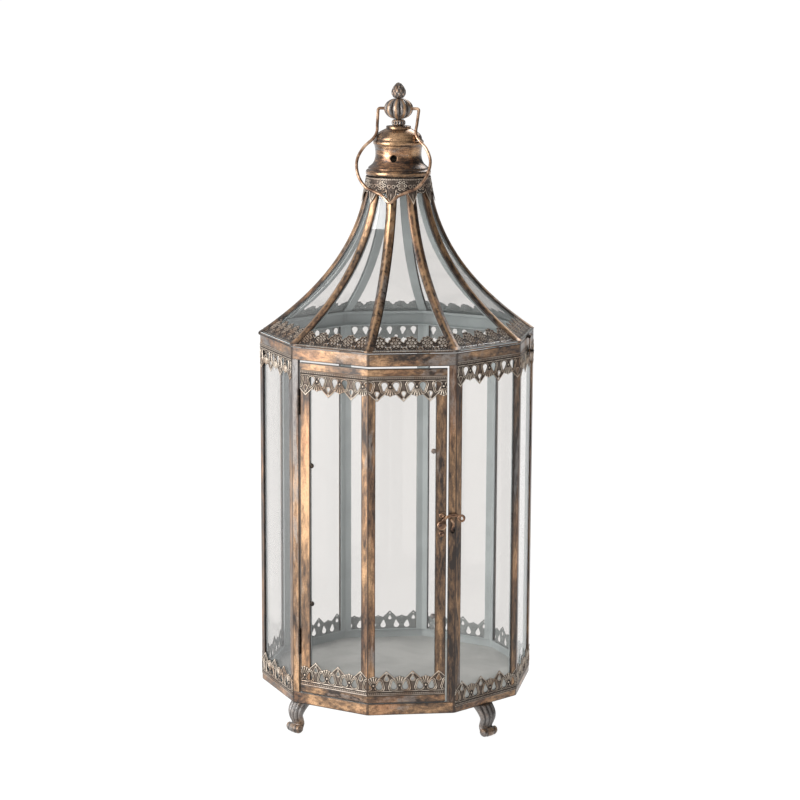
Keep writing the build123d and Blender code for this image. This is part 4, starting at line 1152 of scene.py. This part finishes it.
def build_stage():
    """Pale floor, soft studio light and the camera."""
    look = bpy.context.scene.cloche_look
    scene = bpy.context.scene
    floor = bpy.data.meshes.new("studio_floor")
    floor.from_pydata([(-90, -90, 0), (90, -90, 0), (90, 90, 0), (-90, 90, 0)], [], [(0, 1, 2, 3)])
    mat, add = new_finish("white studio floor")
    shader = {"Base Color": (*look.floor, 1), "Roughness": 0.9}
    shader.update({"Emission Color": (1, 1, 1, 1), "Emission Strength": 0.94})  # a lit sweep, evenly white
    add("OutputMaterial", [add("BsdfPrincipled", shader)], take=None)
    floor.materials.append(mat)
    ground = bpy.data.objects.new("studio_floor", floor)
    scene.collection.objects.link(ground)
    ground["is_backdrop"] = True
    world = bpy.data.worlds.new("studio")
    world.use_nodes = True
    back = world.node_tree.nodes["Background"]
    add = partial(node, world.node_tree)
    toward = add("TexCoord", take="Generated")
    side = add("VectorMath", [toward, (-0.8, -0.45, 0.4)], take="Value", operation="DOT_PRODUCT")
    shade = add("MapRange", [side, -0.5, 0.9, 0.12, 1.0], interpolation_type="SMOOTHSTEP")
    world.node_tree.links.new(shade, back.inputs[0])
    back.inputs[1].default_value = look.room_light
    scene.world = world
    for name, place, size, power, aim in (
        ("key", (-1.75, -1.6, 0.95), (1.3, 1.8), 70, (0, 0, 0.42)),
        ("fill", (2.4, -1.4, 1.2), (0.9, 1.8), 2.5, (0, 0, 0.42)),
        ("rear", (0.6, 2.6, 2.4), (2.2, 1.2), 34, (0, 0, 0.4)),
    ):
        lamp = bpy.data.lights.new(name, "AREA")
        lamp.shape, lamp.size, lamp.size_y, lamp.energy = "RECTANGLE", *size, power
        obj = bpy.data.objects.new(name, lamp)
        obj.location = place
        aim_at = np.array(aim) - np.array(place)
        yaw = np.arctan2(aim_at[0], -aim_at[1])
        tilt = np.arctan2(np.hypot(aim_at[0], aim_at[1]), -aim_at[2])
        obj.rotation_euler = (tilt, 0, yaw + pi)
        scene.collection.objects.link(obj)
    cam_data = bpy.data.cameras.new("camera")
    cam_data.lens, cam_data.sensor_width = look.lens, 36
    cam = bpy.data.objects.new("camera", cam_data)
    a = radians(look.view_azimuth)
    cam.location = (look.view_distance * sin(a), -look.view_distance * cos(a), look.view_height)
    cam.rotation_mode = "XYZ"
    turn = Matrix.Rotation(a - 0.0011, 3, "Z") @ Matrix.Rotation(pi / 2 - radians(look.view_pitch), 3, "X")
    turn = turn @ Matrix.Rotation(0.0042, 3, "Z")
    cam.rotation_euler = turn.to_euler("XYZ")
    scene.collection.objects.link(cam)
    scene.camera = cam
    scene.view_settings.view_transform = "Standard"


# ---------------------------------------------------------------- add-on


def colour(name, description, default):
    """A colour that a user can pick, from sRGB hex or linear values."""
    if isinstance(default, str):
        default = tone(default)[:3]
    return bpy.props.FloatVectorProperty(
        name=name, description=description, default=default, size=3, min=0, max=1, subtype="COLOR")


class ClocheLook(bpy.types.PropertyGroup):
    """Colours, light and camera of the cloche."""

    bail_wire: bpy.props.FloatProperty(
        name="Bail wire", description="Diameter of the bail",
        default=0.0036, min=0.001, max=0.006, unit="LENGTH")
    lace_sheet: bpy.props.FloatProperty(
        name="Lace sheet", description="Thickness of the stamped lace",
        default=0.00035, min=0.0001, max=0.001, unit="LENGTH")
    lace_relief: bpy.props.FloatProperty(
        name="Lace relief", description="Height of the stamped pattern, 1 as made",
        default=1.0, min=0, max=1.5, subtype="FACTOR")
    copper: colour("Copper", "Body colour of the aged copper", "#72573f")
    gold: colour("Gold", "Bright patches of the aged copper", "#967453")
    # Also the colour of the painted highlights on the ribs, feet, finial and cap.
    rubbed_and_highlight: colour("Rubbed edge and highlight", "Colour where the finish is rubbed through", "#c39a72")
    patina: colour("Patina", "Grey bloom on the copper", "#7b7876")
    primer: colour("Primer", "Matt paint inside the case", "#b2babb")
    glass_tint: colour("Glass", "Light that one surface of a pane lets through", (0.920, 0.913, 0.906))
    floor: colour("Floor", "Colour of the studio floor", (0.12, 0.12, 0.12))
    room_light: bpy.props.FloatProperty(
        name="Room light", description="Strength of the soft light all round", default=0.9, min=0, max=5)
    lens: bpy.props.FloatProperty(
        name="Lens", description="Focal length on a 36 mm sensor",
        default=105.83, min=10, max=400, subtype="DISTANCE_CAMERA")
    view_azimuth: bpy.props.FloatProperty(
        name="View azimuth", description="Camera's turn round the object, degrees", default=11.73)
    view_pitch: bpy.props.FloatProperty(
        name="View pitch", description="How far the camera looks down, degrees", default=10.66)
    view_distance: bpy.props.FloatProperty(
        name="Distance", description="Camera's distance from the axis", default=2.7836, unit="LENGTH")
    view_height: bpy.props.FloatProperty(
        name="Height", description="Camera's height above the floor", default=0.9056, unit="LENGTH")


class CLOCHE_OT_case_rims(bpy.types.Operator):
    """Adds the rolled rims and dresses the tray"""

    bl_idname = "cloche.case_rims"
    bl_label = "Rims and tray"

    def execute(self, context):
        build_rims()
        return {"FINISHED"}


class CLOCHE_OT_corner_bars(bpy.types.Operator):
    """Adds the nine glazing bars of the case"""

    bl_idname = "cloche.corner_bars"
    bl_label = "Corner bars"

    def execute(self, context):
        build_corner_bars()
        return {"FINISHED"}


class CLOCHE_OT_wall_panes(bpy.types.Operator):
    """Dresses the flat panes in clear glass"""

    bl_idname = "cloche.wall_panes"
    bl_label = "Flat panes"

    def execute(self, context):
        build_wall_panes()
        return {"FINISHED"}


class CLOCHE_OT_feet(bpy.types.Operator):
    """Adds the four cast scroll feet"""

    bl_idname = "cloche.feet"
    bl_label = "Feet"

    def execute(self, context):
        build_feet()
        return {"FINISHED"}


class CLOCHE_OT_case_trim(bpy.types.Operator):
    """Adds the pressed trim of the fixed faces"""

    bl_idname = "cloche.case_trim"
    bl_label = "Case trim"

    def execute(self, context):
        build_case_trim()
        return {"FINISHED"}


class CLOCHE_OT_door_frame(bpy.types.Operator):
    """Adds the stiles, bar and rails of the door"""

    bl_idname = "cloche.door_frame"
    bl_label = "Door frame"

    def execute(self, context):
        build_door_frame()
        return {"FINISHED"}


class CLOCHE_OT_door_trim(bpy.types.Operator):
    """Adds the pressed trim of the door"""

    bl_idname = "cloche.door_trim"
    bl_label = "Door trim"

    def execute(self, context):
        build_door_trim()
        return {"FINISHED"}


class CLOCHE_OT_door_hardware(bpy.types.Operator):
    """Adds clips, rivets and stud and dresses the hinges"""

    bl_idname = "cloche.door_hardware"
    bl_label = "Door hardware"

    def execute(self, context):
        build_door_hardware()
        return {"FINISHED"}


class CLOCHE_OT_door_hook(bpy.types.Operator):
    """Adds the twisted wire hook"""

    bl_idname = "cloche.door_hook"
    bl_label = "Door hook"

    def execute(self, context):
        build_door_hook()
        return {"FINISHED"}


class CLOCHE_OT_roof_frame(bpy.types.Operator):
    """Adds the roof rim and ribs"""

    bl_idname = "cloche.roof_frame"
    bl_label = "Roof frame"

    def execute(self, context):
        build_roof_frame()
        return {"FINISHED"}


class CLOCHE_OT_roof_panes(bpy.types.Operator):
    """Adds the curved panes"""

    bl_idname = "cloche.roof_panes"
    bl_label = "Roof panes"

    def execute(self, context):
        build_roof_panes()
        return {"FINISHED"}


class CLOCHE_OT_roof_lace(bpy.types.Operator):
    """Adds the lace at the eaves and round the collar"""

    bl_idname = "cloche.roof_lace"
    bl_label = "Roof lace"

    def execute(self, context):
        build_roof_lace()
        return {"FINISHED"}


class CLOCHE_OT_cap(bpy.types.Operator):
    """Adds the spun cap with its vents"""

    bl_idname = "cloche.cap"
    bl_label = "Cap"

    def execute(self, context):
        build_cap()
        return {"FINISHED"}


class CLOCHE_OT_finial(bpy.types.Operator):
    """Adds the neck bead, melon and bud"""

    bl_idname = "cloche.finial"
    bl_label = "Finial"

    def execute(self, context):
        build_finial()
        return {"FINISHED"}


class CLOCHE_OT_bail(bpy.types.Operator):
    """Adds the wire bail"""

    bl_idname = "cloche.bail"
    bl_label = "Bail"

    def execute(self, context):
        build_bail()
        return {"FINISHED"}


class CLOCHE_OT_roof_hardware(bpy.types.Operator):
    """Dresses the roof hinge and hasp and adds the stud"""

    bl_idname = "cloche.roof_hardware"
    bl_label = "Roof hardware"

    def execute(self, context):
        build_roof_hardware()
        return {"FINISHED"}


class CLOCHE_OT_stage(bpy.types.Operator):
    """Adds the floor, the lights and the camera"""

    bl_idname = "cloche.stage"
    bl_label = "Stage"

    def execute(self, context):
        build_stage()
        return {"FINISHED"}


OPERATORS = [
    CLOCHE_OT_case_rims,
    CLOCHE_OT_corner_bars,
    CLOCHE_OT_wall_panes,
    CLOCHE_OT_feet,
    CLOCHE_OT_case_trim,
    CLOCHE_OT_door_frame,
    CLOCHE_OT_door_trim,
    CLOCHE_OT_door_hardware,
    CLOCHE_OT_door_hook,
    CLOCHE_OT_roof_frame,
    CLOCHE_OT_roof_panes,
    CLOCHE_OT_roof_lace,
    CLOCHE_OT_cap,
    CLOCHE_OT_finial,
    CLOCHE_OT_bail,
    CLOCHE_OT_roof_hardware,
    CLOCHE_OT_stage,
]


class CLOCHE_PT_panel(bpy.types.Panel):
    """Lists the pieces of the cloche."""

    bl_label = "Glass cloche"
    bl_idname = "CLOCHE_PT_panel"
    bl_space_type = "VIEW_3D"
    bl_region_type = "UI"
    bl_category = "Cloche"

    def draw(self, context):
        for op in OPERATORS:
            self.layout.operator(op.bl_idname)


CLASSES = [ClocheLook, *OPERATORS, CLOCHE_PT_panel]


def register():
    for cls in CLASSES:
        bpy.utils.register_class(cls)
    bpy.types.Scene.cloche_look = bpy.props.PointerProperty(type=ClocheLook)


def unregister():
    del bpy.types.Scene.cloche_look
    for cls in reversed(CLASSES):
        bpy.utils.unregister_class(cls)


def main():
    register()
    for op in OPERATORS:
        getattr(bpy.ops.cloche, op.bl_idname.split(".")[1])()
    boxes = {"cad": CAD_BOX, "visual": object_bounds()}
    boxes = {key: [list(map(float, point)) for point in box] for key, box in boxes.items()}


if __name__ == "__main__":
    main()
